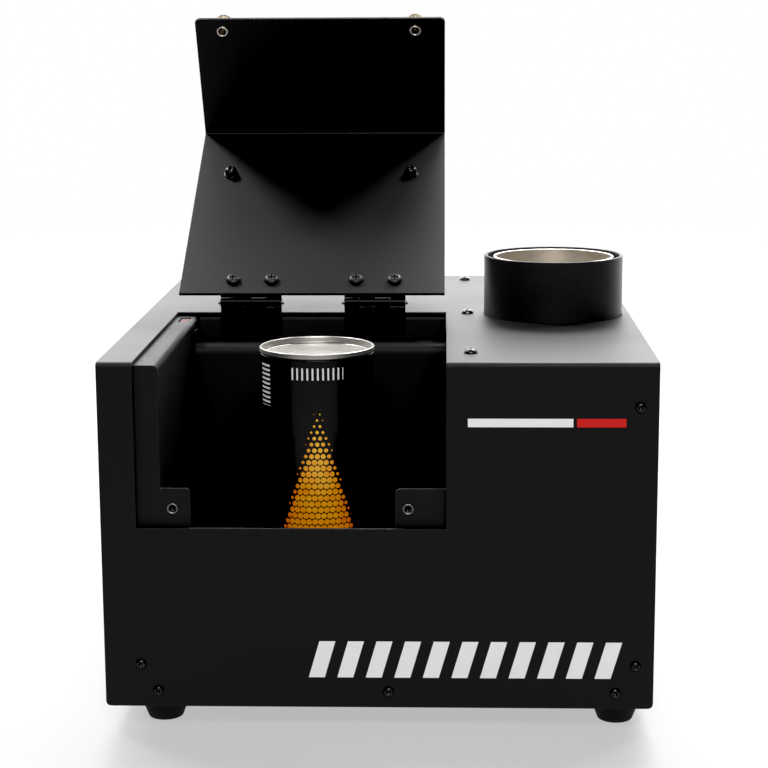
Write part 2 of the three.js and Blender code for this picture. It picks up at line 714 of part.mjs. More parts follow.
// Mains inlet, moulded in one with the housing of the power rocker
function mainsInlet() {
  const z = caseBottom + inlet.rise;
  const bodyInset = gap * 2 + inlet.wall;
  const body = fitting(
    inletX, inlet.rise, inlet.width - bodyInset * 2, inlet.height - bodyInset * 2, inlet.corner,
    caseDepth - recess.depth - inlet.wall, panelGap + inlet.wall);
  const flange = fitting(
    inletX, inlet.rise, inlet.width, inlet.height, inlet.corner, panelGap, panelGap + inlet.flange);
  const hollow = fitting(
    recessX, inlet.rise, recess.width, recess.height, recess.corner,
    caseDepth - recess.depth, caseDepth + overrun);
  const pocket = fitting(
    rockerX, inlet.rise, rocker.width + gap * 2, rockerPocket * 2, 0,
    caseDepth - rocker.depth - gap * 2, caseDepth + overrun);
  const pins = [[-1, -1], [0, 1], [1, -1]].map(([side, level]) => {
    const x = recessX + side * pin.spread;
    const middle = z + level * pin.drop;
    const start = caseDepth - recess.depth - inlet.wall / 2;
    return box(
      x - pin.width / 2, x + pin.width / 2, start, start + pin.length, middle - pin.height / 2,
      middle + pin.height / 2);
  });
  return join(cut(join(body, flange), hollow, pocket), ...pins);
}
add('mains_inlet', mainsInlet(), blackPlastic);

// Power rocker, tipped to one side about its middle
function powerRocker() {
  const half = rocker.height / 2;
  const section = [
    [-rocker.depth, -half / 3], [-rocker.dip, -half + gap], [rocker.proud, -half],
    [rocker.dip, 0], [rocker.proud, half], [-rocker.dip, half - gap], [-rocker.depth, half / 3],
  ];
  const rockerGroup = new THREE.Group();
  rockerGroup.position.set(0, caseDepth, caseBottom + inlet.rise);
  rockerGroup.rotation.x = rockerTilt;
  group.add(rockerGroup);
  const body = prismX(section, rockerX - rocker.width / 2, rockerX + rocker.width / 2);
  add('power_rocker', body, redPlastic, rockerGroup);
}
powerRocker();

// Control sockets: a round shell with three contacts on its floor
const contact = { radius: 1.1, circle: 5, length: 12 };
const contactTurnShares = [1 / 6, 1 / 2, 5 / 6];
function controlSocket(x) {
  const z = caseBottom + socket.rise;
  const bottom = panelGap - socket.depth;
  const bore = socket.shell - socket.wall;
  const shell = alongY(turned([
    [0, bottom], [socket.shell, bottom], [socket.shell, panelGap], [socket.flange, panelGap],
    [socket.flange, panelGap + socket.flangeHeight], [bore, panelGap + socket.flangeHeight],
    [bore, bottom + socket.floor], [0, bottom + socket.floor],
  ], roundSides), x, 0, z);
  const contacts = contactTurnShares.map((share) => {
    const turn = share * 2 * Math.PI;
    const dx = contact.circle * Math.cos(turn);
    const dz = contact.circle * Math.sin(turn);
    return rodY(contact.radius, bottom, bottom + contact.length, x + dx, z + dz, smallSides);
  });
  return join(shell, ...contacts);
}
add('control_socket_in', controlSocket(socketXs.in), nickel);
add('control_socket_out', controlSocket(socketXs.out), nickel);

// Display window and menu buttons, with the control board behind them
function displayWindow() {
  const glass = fitting(
    paneX, pane.rise, pane.width - gap * 2, pane.height - gap * 2, 0,
    panelFront - overrun / 2, caseDepth + pane.proud);
  const lip = fitting(
    paneX, pane.rise, pane.width + pane.lip * 2, pane.height + pane.lip * 2, 0,
    panelFront - gap - thinSheet, panelFront - gap);
  return join(glass, lip);
}
add('display_window', displayWindow(), smokedWindow);

function menuButton(x) {
  const lipBack = panelFront - gap;
  const lipFront = lipBack - button.lipHeight;
  const face = caseDepth + button.proud;
  return alongY(turned([
    [0, lipFront], [button.radius + button.lip, lipFront], [button.radius + button.lip, lipBack],
    [button.radius, lipBack], [button.radius, face], [0, face],
  ], roundSides), x, 0, caseBottom + button.rise);
}
buttonXs.forEach((x, index) => add(`menu_button_${index + 1}`, menuButton(x), redPlastic));

const board = { width: 68, rise: 74, height: 60, setback: 17, thickness: 1.6, post: 2.5, postInset: 3.75 };
const boardSwitch = { width: 6, height: 6 };
function controlBoard() {
  const front = panelFront - board.setback;
  const left = paneX - board.width / 2;
  const bottom = caseBottom + board.rise;
  const plate = box(
    left, left + board.width, front, front + board.thickness, bottom, bottom + board.height);
  const posts = [[0, 0], [1, 0], [0, 1], [1, 1]].map(([side, level]) => {
    const x = left + board.postInset + side * (board.width - board.postInset * 2);
    const z = bottom + board.postInset + level * (board.height - board.postInset * 2);
    return rodY(board.post, front, panelFront - gap, x, z, smallSides);
  });
  const switchBack = panelFront - gap - button.lipHeight - button.travel - gap;
  const switches = buttonXs.map((x) => (
    fitting(x, button.rise, boardSwitch.width, boardSwitch.height, 0, front, switchBack)));
  const digits = fitting(
    paneX, pane.rise, pane.width - pane.lip * 2, pane.height - pane.lip * 2, 0,
    front, panelFront - overrun / 2 - gap);
  return join(plate, ...posts, ...switches, digits);
}
add('control_board', controlBoard(), greenBoard);

// Lid interlock: a switch under the slot in the left ledge, and its plunger
const plungerRecess = 0.5;
const plungerSide = 0.6;
const plungerDepth = 10;
const interlockBody = { front: 5, back: 3.5, height: 24, left: 2, right: 0.8 };
function plungerBox(spare, bottom, top) {
  return box(
    slotLeft + spare, slotRight - spare, slotFront + spare, slotBack - spare, bottom, top);
}

function interlockSwitch() {
  const top = ledgeUnder - gap;
  const body = box(
    slotLeft - interlockBody.left, slotRight + interlockBody.right,
    slotFront - interlockBody.front, slotBack + interlockBody.back, top - interlockBody.height, top);
  const spare = plungerSide - gap;
  return cut(body, plungerBox(spare, ledgeTop - plungerDepth - plungerDepth / 2, ledgeTop));
}
add('interlock_switch', interlockSwitch(), blackPlastic);
add('interlock_plunger', plungerBox(
  plungerSide, ledgeTop - plungerRecess - plungerDepth, ledgeTop - plungerRecess), redPlastic);

// Screws of the casing
function buttonScrew(size) {
  const head = turned([
    [0, -size.length], [size.shank, -size.length], [size.shank, 0], [size.head, 0],
    [size.head, size.height / 4], [size.socket * 2, size.height], [0, size.height],
  ], smallSides * 1.5);
  return cut(head, rod(size.socket, size.height - size.depth, size.height * 2, hexSides));
}
frontScrews.forEach(([name, x, rise]) => {
  add(name, buttonScrew(smallScrew).rotateX(quarterTurn).translate(x, 0, caseBottom + rise), screwBlack);
});
topScrews.forEach(([name, y]) => {
  add(name, buttonScrew(largeScrew).translate(topScrewX, y, caseTop), screwBlack);
});

// The lid and what it carries are drawn shut, then turned open about the hinge axis
const lid = { left: 1.3, right: 0.8, rear: 2.4, front: 0.4, below: 0.9, proud: 2 };
const lidOpenDegrees = 149.2;
const lidTop = caseTop + lid.proud;
const lidRear = openingBack - lid.rear;
const lidBottom = openingBottom + lid.below;
const ferrule = { flange: 4.6, flangeHeight: 0.9, barrel: 3.8, bore: 2.5, proud: 1.1 };
const ferruleEnd = lid.front + sheet + ferrule.proud;
const hinge = { length: 38, knuckles: 4, barrel: 2.9, bore: 1.5, leaf: 1.2, leafLength: 17, drop: 11 };
const hingeInset = { left: 27.2, right: 25.2 };
const hingeLefts = {
  left: openingLeft + hingeInset.left,
  right: openingRight - hingeInset.right - hinge.length,
};
const hingeY = lipFront - gap - hinge.leaf / 2;
const hingeZ = lidTop + gap + hinge.leaf + hinge.barrel;

const lidGroup = new THREE.Group();
lidGroup.position.set(0, hingeY, hingeZ);
lidGroup.rotation.x = -THREE.MathUtils.degToRad(lidOpenDegrees);
group.add(lidGroup);
function addToLid(name, geometry, material) {
  add(name, geometry.translate(0, -hingeY, -hingeZ), material, lidGroup);
}

function lidPanel() {
  const sides = [
    [lid.front, lidBottom], [lid.front + sheet, lidBottom],
    [lid.front + sheet, lidTop - sheet, innerBend], [lidRear, lidTop - sheet],
    [lidRear, lidTop], [lid.front, lidTop, bendRadius],
  ];
  const holes = Object.values(insertXs).map((x) => (
    rodY(ferrule.barrel + gap, -overrun, overrun, x, insertZ, roundSides)));
  return cut(prismX(sides, openingLeft + lid.left, openingRight - lid.right), ...holes);
}
addToLid('lid', lidPanel(), blackPaint);

// Pull handle on the top of the lid
const handle = { leftInset: 23.3, rightInset: 23.5, setback: 51, rise: 36, bar: 4.5, bend: 12 };
const handleFoot = { radius: 7, height: 3 };
const handleLeft = openingLeft + handle.leftInset;
const handleRight = openingRight - handle.rightInset;
const handleSteps = 26;
function lidHandle() {
  const y = lid.front + handle.setback;
  const seat = lidTop + gap;
  const crown = lidTop + handle.rise - handle.bar;
  const bow = pipe([
    [handleLeft, y, seat + handleFoot.height / 2], [handleLeft, y, crown],
    [handleRight, y, crown], [handleRight, y, seat + handleFoot.height / 2],
  ], handle.bar, handle.bend, handleSteps);
  const feetDiscs = [handleLeft, handleRight].map((x) => (
    rod(handleFoot.radius, seat, seat + handleFoot.height, roundSides, x, y)));
  return join(bow, ...feetDiscs);
}
addToLid('lid_handle', lidHandle(), blackPlastic);

// Hinges: the knuckles alternate between the leaf on the lid and the leaf on the rear ledge
const knuckle = (hinge.length - gap * (hinge.knuckles - 1)) / hinge.knuckles;
const leafTop = hingeZ - hinge.barrel - gap;
function knuckleSpan(left, index) {
  const start = left + index * (knuckle + gap);
  return [start, start + knuckle];
}

function lidLeaf(left) {
  const right = left + hinge.length;
  const wrap = hingeY - hinge.barrel;
  const bottom = lidTop + gap;
  const plate = box(left, right, wrap - hinge.leafLength, wrap + hinge.leaf, bottom, bottom + hinge.leaf);
  const knuckles = [1, 3].flatMap((index) => {
    const [start, end] = knuckleSpan(left, index);
    return [
      rodX(hinge.barrel, start, end, hingeY, hingeZ, roundSides),
      box(start, end, wrap, wrap + hinge.leaf, bottom, hingeZ),
    ];
  });
  const bore = rodX(hinge.bore, left - overrun, right + overrun, hingeY, hingeZ, roundSides);
  return cut(join(plate, ...knuckles), bore);
}

function fixedLeaf(left) {
  const right = left + hinge.length;
  const half = hinge.leaf / 2;
  const plate = box(left, right, hingeY - half, hingeY + half, ledgeTop - hinge.drop, leafTop);
  const knuckles = [0, 2].flatMap((index) => {
    const [start, end] = knuckleSpan(left, index);
    return [
      rodX(hinge.barrel, start, end, hingeY, hingeZ, roundSides),
      box(start, end, hingeY - half, hingeY + half, ledgeTop, hingeZ),
    ];
  });
  const bore = rodX(hinge.bore, left - overrun, right + overrun, hingeY, hingeZ, roundSides);
  return cut(join(plate, ...knuckles), bore);
}

function hingePin(left) {
  const radius = hinge.bore - gap;
  const right = left + hinge.length;
  return alongX(turned([
    [0, left - gap - hinge.leaf], [hinge.bore, left - gap - hinge.leaf], [hinge.bore, left - gap],
    [radius, left - gap], [radius, right + gap], [hinge.bore, right + gap],
    [hinge.bore, right + gap + hinge.leaf], [0, right + gap + hinge.leaf],
  ], smallSides), 0, hingeY, hingeZ);
}

Object.entries(hingeLefts).forEach(([side, left]) => {
  add(`hinge_${side}_fixed_leaf`, fixedLeaf(left), screwBlack);
  add(`hinge_${side}_pin`, hingePin(left), zincSteel);
  addToLid(`hinge_${side}_lid_leaf`, lidLeaf(left), screwBlack);
});

// Captive thumb screws in their ferrules
const thumb = { knob: 5.6, knobLength: 9, shoulder: 2.2, shoulderEnd: 1.5, tip: 1.65 };
function thumbFerrule(x) {
  const face = lid.front - gap;
  return alongY(turned([
    [ferrule.bore, face - ferrule.flangeHeight], [ferrule.flange, face - ferrule.flangeHeight],
    [ferrule.flange, face], [ferrule.barrel, face], [ferrule.barrel, ferruleEnd],
    [ferrule.bore, ferruleEnd], [ferrule.bore, face - ferrule.flangeHeight],
  ], roundSides), x, 0, insertZ);
}

function thumbScrew(x) {
  const seat = lid.front - gap - ferrule.flangeHeight - gap;
  return alongY(turned([
    [0, seat - thumb.knobLength], [thumb.knob, seat - thumb.knobLength], [thumb.knob, seat],
    [thumb.shoulder, seat], [thumb.shoulder, thumb.shoulderEnd], [thumb.tip, thumb.shoulderEnd],
    [thumb.tip, ferruleEnd], [0, ferruleEnd],
  ], roundSides), x, 0, insertZ);
}

Object.entries(insertXs).forEach(([side, x]) => {
  addToLid(`thumb_ferrule_${side}`, thumbFerrule(x), nickel);
  addToLid(`thumb_screw_${side}`, thumbScrew(x), brass);
});

// The origin lies on the floor under the middle of the machine
group.position.y = (frontProud - caseDepth - rearProud) / 2;

export default group;
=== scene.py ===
"""A stage flame machine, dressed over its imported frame: paint, print, screws, hinges and round parts.

Metres. X to the right, Y from the front plate to the rear panel, Z up from the floor.
"""
import json
import math

import bmesh
import bpy
from mathutils import Matrix, Vector


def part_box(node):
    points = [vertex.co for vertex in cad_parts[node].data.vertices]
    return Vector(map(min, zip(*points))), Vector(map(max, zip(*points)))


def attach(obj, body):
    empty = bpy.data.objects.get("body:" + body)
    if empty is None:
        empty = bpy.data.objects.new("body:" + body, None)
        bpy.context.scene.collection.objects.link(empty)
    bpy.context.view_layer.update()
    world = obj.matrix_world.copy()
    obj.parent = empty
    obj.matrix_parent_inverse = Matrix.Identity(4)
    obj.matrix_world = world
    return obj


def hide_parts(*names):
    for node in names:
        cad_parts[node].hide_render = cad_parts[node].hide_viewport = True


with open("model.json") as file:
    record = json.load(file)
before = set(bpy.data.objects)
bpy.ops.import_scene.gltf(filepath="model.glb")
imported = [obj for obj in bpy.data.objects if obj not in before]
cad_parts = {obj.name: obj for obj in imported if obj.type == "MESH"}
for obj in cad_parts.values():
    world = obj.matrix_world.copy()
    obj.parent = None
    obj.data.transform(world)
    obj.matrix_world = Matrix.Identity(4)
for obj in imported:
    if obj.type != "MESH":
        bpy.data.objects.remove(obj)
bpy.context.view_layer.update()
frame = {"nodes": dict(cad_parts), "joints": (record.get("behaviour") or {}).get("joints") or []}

COVER_LOW, COVER_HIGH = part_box("casing_cover")
FRONT = COVER_LOW.y
REAR = COVER_HIGH.y
TOP = COVER_HIGH.z
HINGE = next(joint for joint in frame["joints"] if joint["name"] == "lid_hinge")
HINGE_POINT = Vector(HINGE["pos_m"])
LID_OPEN = math.radians(HINGE["range_deg"][0])
FINE = 96
ROUND = 48
SMALL = 32
ARC_STEPS = 5
ON_AXIS = 1e-9
NEAR_ZERO = 1e-6
CLEARANCE = 0.0003
X_AXIS, Y_AXIS, Z_AXIS = Vector((1, 0, 0)), Vector((0, 1, 0)), Vector((0, 0, 1))

# Pieces on the lid are built with the lid shut, then turned open with it
LID_TURN = (
    Matrix.Translation(HINGE_POINT)
    @ Matrix.Rotation(LID_OPEN, 4, "X")
    @ Matrix.Translation(-HINGE_POINT)
)


# Shader maths

class Wire:
    """An output socket that can be added, multiplied and so on."""

    def __init__(self, finish, socket):
        self.finish = finish
        self.socket = socket

    def _math(self, operation, *values):
        return self.finish.node("ShaderNodeMath", {"operation": operation}, dict(enumerate(values)))

    def __add__(self, other):
        return self._math("ADD", self, other)

    def __sub__(self, other):
        return self._math("SUBTRACT", self, other)

    def __mul__(self, other):
        return self._math("MULTIPLY", self, other)

    def __truediv__(self, other):
        return self._math("DIVIDE", self, other)

    def __pow__(self, other):
        return self._math("POWER", self, other)

    def __radd__(self, other):
        return self._math("ADD", other, self)

    def __rsub__(self, other):
        return self._math("SUBTRACT", other, self)

    def __rmul__(self, other):
        return self._math("MULTIPLY", other, self)

    def __rtruediv__(self, other):
        return self._math("DIVIDE", other, self)

    def do(self, operation, *others):
        return self._math(operation, self, *others)

    def held(self):
        """Kept between 0 and 1."""
        return self._math("MINIMUM", self._math("MAXIMUM", self, 0.0), 1.0)

    def step(self, low, high):
        """0 below low and 1 above high, smooth between them. With low over high it falls instead."""
        return self.finish.node(
            "ShaderNodeMapRange", {"interpolation_type": "SMOOTHSTEP"},
            {"Value": self, "From Min": low, "From Max": high})


class Finish:
    """A material with one Principled shader, and the nodes that feed it."""

    def __init__(self, name, **constants):
        self.material = bpy.data.materials.new(name)
        self.material.use_nodes = True
        self.tree = self.material.node_tree
        self.shader = self.tree.nodes["Principled BSDF"]
        for label, value in constants.items():
            self.shader.inputs[label.replace("_", " ").title().replace("Ior", "IOR")].default_value = value
        self.place = self.node("ShaderNodeTexCoord", output="Object")

    def node(self, kind, settings=None, sockets=None, output=0):
        """A new node's output, as a Wire."""
        made = self.tree.nodes.new(kind)
        for label, value in (settings or {}).items():
            if label == "stops":
                self._set_stops(made.color_ramp, value)
            else:
                setattr(made, label, value)
        for label, value in (sockets or {}).items():
            self._feed(made.inputs[label], value)
        return Wire(self, made.outputs[output])

    def _set_stops(self, ramp, stops):
        for index, (place, colour) in enumerate(stops):
            stop = ramp.elements[index] if index < 2 else ramp.elements.new(place)
            stop.position = place
            stop.color = (*colour, 1.0)

    def _feed(self, socket, value):
        if isinstance(value, Wire):
            self.tree.links.new(value.socket, socket)
        elif socket.type == "RGBA":
            socket.default_value = (*value, 1.0)
        else:
            socket.default_value = value

    def feed(self, **values):
        for label, value in values.items():
            self._feed(self.shader.inputs[label.replace("_", " ")], value)

    def mix(self, factor, first, second):
        """The first colour where the factor is 0, the second where it is 1."""
        return self.node(
            "ShaderNodeMix", {"data_type": "RGBA"}, {0: factor, 6: first, 7: second}, output=2)

    def stretched(self, x, y, z):
        """The place with each axis scaled, so that a noise on it runs in lines."""
        return self.node(
            "ShaderNodeVectorMath", {"operation": "MULTIPLY"}, {0: self.place, 1: (x, y, z)})

    def noise(self, scale, detail=2.0, roughness=0.5, place=None):
        return self.node("ShaderNodeTexNoise", None, {
            "Vector": place or self.place, "Scale": scale, "Detail": detail, "Roughness": roughness})

    def axes(self):
        made = self.node("ShaderNodeSeparateXYZ", None, {0: self.place}).socket.node
        return [Wire(self, socket) for socket in made.outputs]

    def bump(self, height, distance, strength):
        self.feed(Normal=self.node("ShaderNodeBump", None, {
            "Height": height, "Distance": distance, "Strength": strength}))


# Finishes

COAT_GRAIN = 1500.0
COAT_DEPTH = 0.00006
COAT_GLOSS = 0.25


def powder_coat(name, shade, rubbed):
    """Satin black powder coat with a fine grain. A rubbed one is paler and smoother where worn. The coat
    for the edges also takes a paler shade, which is a painted highlight along the edges and bends.
    """
    coat = Finish(name, specular_ior_level=COAT_GLOSS)
    grain = coat.noise(COAT_GRAIN, 2.0, 0.6)
    cloud = coat.noise(14.0, 3.0)
    scuffs = coat.noise(55.0, 4.0, 0.7, coat.stretched(1.0, 1.0, 0.35))
    dark = tuple(shade * part for part in (0.72, 0.72, 0.75))
    pale = tuple(shade * part for part in (1.45, 1.42, 1.4))
    colour = coat.mix(0.4 * cloud + 0.6 * grain.step(0.4, 0.6), dark, pale)
    worn = scuffs.step(0.5, 0.8) * rubbed
    coat.feed(Base_Color=coat.mix(worn, colour, (0.09, 0.09, 0.09)))
    coat.feed(Roughness=0.47 + 0.1 * cloud - 0.12 * worn + 0.06 * (grain - 0.5))
    coat.bump(grain, COAT_DEPTH, 0.55)
    return coat.material


def satin_paint():
    """Smooth satin black of the folded inner sheets, with faint draw lines down the walls."""
    paint = Finish("satin_inner_paint", specular_ior_level=0.09)
    peel = paint.noise(420.0, 1.0)
    lines = paint.noise(260.0, 3.0, 0.6, paint.stretched(1.0, 1.0, 0.04))
    cloud = paint.noise(22.0, 3.0)
    paint.feed(Base_Color=paint.mix(cloud, (0.0135, 0.0132, 0.0132), (0.0185, 0.018, 0.018)))
    paint.feed(Roughness=0.44 + 0.1 * cloud + 0.16 * (lines - 0.5))
    paint.bump(peel * 0.4 + lines * 0.6, 0.00003, 0.5)
    return paint.material


def rolled_steel():
    """Bare stainless tube: rolling lines round it, a straw tint and a little soot low down inside."""
    steel = Finish("rolled_tube_steel", metallic=1.0)
    _, _, z = steel.axes()
    low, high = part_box("flame_tube")
    rise = (z - low.z) / (high.z - low.z)
    lines = steel.noise(900.0, 3.0, 0.6, steel.stretched(0.05, 0.05, 1.0))
    blotch = steel.noise(45.0, 4.0, 0.6)
    heat = (rise + (blotch - 0.5) * 0.25).step(0.75, 0.2)
    bare = steel.mix(lines, (0.72, 0.67, 0.60), (0.84, 0.79, 0.72))
    tinted = steel.mix(heat, bare, (0.20, 0.15, 0.10))
    soot = (rise + (blotch - 0.5) * 0.3).step(0.35, 0.05)
    steel.feed(Base_Color=steel.mix(soot * 0.7, tinted, (0.02, 0.018, 0.016)))
    steel.feed(Roughness=0.3 + 0.12 * blotch + 0.1 * (lines - 0.5) + 0.3 * soot)
    steel.bump(lines, 0.00002, 0.4)
    return steel.material


TOOL_GRAIN = 1100.0
TOOL_DEPTH = 0.000012


def plated(name, bright, dull, roughness):
    """A bare or plated metal with fine tool marks and slightly duller patches."""
    metal = Finish(name, metallic=1.0)
    marks = metal.noise(TOOL_GRAIN, 3.0, 0.6)
    patches = metal.noise(120.0, 3.0)
    metal.feed(Base_Color=metal.mix(patches, bright, dull))
    metal.feed(Roughness=roughness + 0.14 * (patches - 0.4) + 0.08 * (marks - 0.5))
    metal.bump(marks, TOOL_DEPTH, 0.5)
    return metal.material


def oiled_black(name, roughness, metallic=0.75, oil=0.25):
    """Black oxide on small steel parts, with bright rubbed spots."""
    oxide = Finish(name, metallic=metallic, coat_roughness=0.2)
    marks = oxide.noise(900.0, 3.0, 0.6)
    patches = oxide.noise(240.0, 3.0)
    rubbed = patches.step(0.6, 0.85)
    oxide.feed(Base_Color=oxide.mix(rubbed, (0.018, 0.018, 0.02), (0.16, 0.15, 0.14)))
    oxide.feed(Roughness=roughness + 0.15 * (marks - 0.5) - 0.06 * rubbed)
    oxide.feed(Coat_Weight=oil * (1 - rubbed))
    oxide.bump(marks, 0.00001, 0.5)
    return oxide.material


def gloss_black():
    """Gloss black enamel of the hinges, with faint runs and dust."""
    enamel = Finish("hinge_enamel", specular_ior_level=0.16)
    runs = enamel.noise(180.0, 3.0)
    dust = enamel.noise(1400.0, 2.0, 0.6)
    enamel.feed(Base_Color=enamel.mix(runs, (0.0015, 0.0015, 0.0017), (0.004, 0.004, 0.004)))
    enamel.feed(Roughness=0.4 + 0.1 * runs + 0.08 * (dust - 0.5))
    enamel.bump(runs * 0.6 + dust * 0.4, 0.00002, 0.4)
    return enamel.material


def moulded(name, colour, roughness, grain=1300.0, depth=0.00002, level=0.4):
    """Moulded plastic or rubber with a fine eroded grain."""
    plastic = Finish(name, specular_ior_level=level)
    texture = plastic.noise(grain, 2.0, 0.6)
    cloud = plastic.noise(40.0, 3.0)
    paler = tuple(min(1.0, part * 1.22 + 0.002) for part in colour)
    plastic.feed(Base_Color=plastic.mix(cloud, colour, paler))
    plastic.feed(Roughness=roughness + 0.1 * (cloud - 0.5) + 0.08 * (texture - 0.5))
    plastic.bump(texture, depth, 0.6)
    return plastic.material


TIN_BOWL = 0.0296


def tinplate():
    """Bright drawn tinplate, with rings of tool marks about the can's axis. The sunk bowl is painted darker
    than the rim, which is painted shade in the recess and a painted highlight on the rim.
    """
    tin = Finish("drawn_tinplate", metallic=1.0)
    x, y, _ = tin.axes()
    low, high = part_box("spray_can")
    middle = (low + high) / 2
    across = ((x - middle.x) ** 2.0 + (y - middle.y) ** 2.0) ** 0.5
    rings = (across * 9000.0).do("SINE")
    mottle = tin.noise(160.0, 4.0, 0.6)
    # The rim is painted brighter than the sunk bowl of the same tin: a painted highlight on the rim and
    # painted shade in the bowl.
    rim = across.step(TIN_BOWL - 0.0004, TIN_BOWL)
    shaded_bowl = tin.mix(mottle, (0.42, 0.41, 0.38), (0.33, 0.32, 0.30))
    tin.feed(Base_Color=tin.mix(rim, shaded_bowl, (0.60, 0.585, 0.55)))
    tin.feed(Roughness=0.44 + 0.06 * mottle + 0.03 * rings - 0.1 * rim)
    tin.bump(rings * 0.3 + mottle * (1 - rim), 0.000004, 0.4)
    return tin.material


DOT_COUNT = 60
DOT_TOP = 0.132
DOT_BOTTOM = 0.060
PRINT_FOOT = 0.0325
LABEL_TURN = 0.067
LABEL_HALF = 0.62
TICK_PITCH = 0.0026
TICK_TURN = -1.07
TICK_HALF = 0.17
TICK_DROP = 0.0196
TICK_REACH = 0.0122
DASH_DROP = 0.0113
DASH_COUNT = 11


def can_print():
    """Gloss black lacquer with a dotted wedge from red to yellow, a row of dashes and a column of ticks."""
    print_ = Finish("can_lacquer_print", coat_roughness=0.14, specular_ior_level=0.25)
    x, y, z = print_.axes()
    low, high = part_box("spray_can")
    middle = (low + high) / 2
    radius = (high.x - low.x) / 2
    angle = (x - middle.x).do("ARCTAN2", middle.y - y)
    turn = (angle - LABEL_TURN).do("ABSOLUTE")
    pitch = 2 * math.pi * radius / DOT_COUNT
    row = (z - low.z) / pitch
    odd = (row * 0.5).do("FRACT").step(0.499, 0.501)
    column = angle * (DOT_COUNT / (2 * math.pi)) + 0.5 * odd
    across = column.do("FRACT") - 0.5
    up = row.do("FRACT") - 0.5
    distance = (across ** 2.0 + up ** 2.0) ** 0.5
    rise = ((z - low.z - DOT_BOTTOM) / (DOT_TOP - DOT_BOTTOM)).held()
    width = 0.66 * (1 - rise) + 0.05
    fade = (1 - (turn / width) ** 2.0).held() ** 0.5
    size = (0.86 * fade * (1.15 - rise)).do("MINIMUM", 0.49)
    printed = (z - low.z).step(PRINT_FOOT - 0.0001, PRINT_FOOT + 0.0001)
    dots = (size - distance).step(-0.03, 0.03) * fade.step(0.05, 0.12) * rise.step(1.0, 0.97) * printed
    streaks = print_.noise(210.0, 4.0, 0.7)
    warm = print_.node("ShaderNodeValToRGB", {"stops": [
        (0.0, (0.55, 0.05, 0.006)), (0.3, (0.86, 0.17, 0.01)),
        (0.62, (0.95, 0.38, 0.02)), (1.0, (0.98, 0.58, 0.06))]},
        {0: 0.25 + 0.75 * fade * (0.35 + 0.65 * rise) + 0.7 * (streaks - 0.5)})
    dash_place = (high.z - z - DASH_DROP).do("ABSOLUTE").step(0.0035, 0.0033)
    dashes = (angle * DASH_COUNT).do("FRACT").step(0.66, 0.7) * turn.step(0.47, 0.46) * dash_place
    tick_rows = ((z - low.z) / TICK_PITCH).do("FRACT").step(0.5, 0.54)
    tick_column = (angle - TICK_TURN).do("ABSOLUTE").step(TICK_HALF, TICK_HALF - 0.01)
    tick_reach = (high.z - z - TICK_DROP).do("ABSOLUTE").step(TICK_REACH, TICK_REACH - 0.0002)
    ticks = tick_rows * tick_column * tick_reach
    speck = print_.noise(700.0, 2.0)
    black = print_.mix(speck, (0.0012, 0.0012, 0.0015), (0.003, 0.003, 0.0032))
    panel = turn.step(LABEL_HALF, LABEL_HALF - 0.03) * printed
    ground = print_.mix(panel, black, (0.0028, 0.0023, 0.0019))
    coloured = print_.mix(dots, ground, warm)
    print_.feed(Base_Color=print_.mix((dashes + ticks).held(), coloured, (0.80, 0.80, 0.79)))
    print_.feed(Roughness=0.24 + 0.06 * speck + 0.05 * dots, Coat_Weight=0.06 + 0.06 * speck)
    print_.bump(speck, 0.000006, 0.4)
    return print_.material


def vinyl(name, colour):
    """Thin printed marking film."""
    film = Finish(name, specular_ior_level=0.35)
    cloud = film.noise(90.0, 3.0)
    grain = film.noise(COAT_GRAIN, 2.0)
    film.feed(Base_Color=film.mix(cloud, colour, tuple(part * 0.9 for part in colour)))
    film.feed(Roughness=0.42 + 0.1 * cloud)
    film.bump(grain, 0.00002, 0.4)
    return film.material


def board_green():
    """Green solder mask over faint tracks."""
    board = Finish("solder_mask", specular_ior_level=0.5)
    tracks = board.node("ShaderNodeTexVoronoi", {"distance": "MANHATTAN"}, {
        "Vector": board.place, "Scale": 260.0})
    lines = tracks.step(0.3, 0.36)
    board.feed(Base_Color=board.mix(lines, (0.012, 0.11, 0.035), (0.02, 0.17, 0.055)))
    board.feed(Roughness=0.32 + 0.1 * lines)
    board.bump(lines, 0.00002, 0.6)
    return board.material


FIGURES = 5
FIGURE_HALF = 0.0072


def dark_glass():
    """Dark red display window, with the faint grid of unlit figures behind it."""
    glass = Finish("display_glass", specular_ior_level=0.3)
    x, _, z = glass.axes()
    low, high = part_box("display_window")
    cell = (high.x - low.x) / FIGURES
    grid = ((x - low.x) / cell).do("FRACT").do("PINGPONG", 0.5).step(0.1, 0.13)
    inside = (z - (low.z + high.z) / 2).do("ABSOLUTE").step(FIGURE_HALF, FIGURE_HALF - 0.0004)
    haze = glass.noise(300.0, 2.0)
    glass.feed(Base_Color=glass.mix(grid * inside, (0.010, 0.001, 0.001), (0.034, 0.0035, 0.003)))
    glass.feed(Roughness=0.07 + 0.05 * haze)
    return glass.material


BLACK_COAT = powder_coat("powder_coat", 0.006, 0.0)
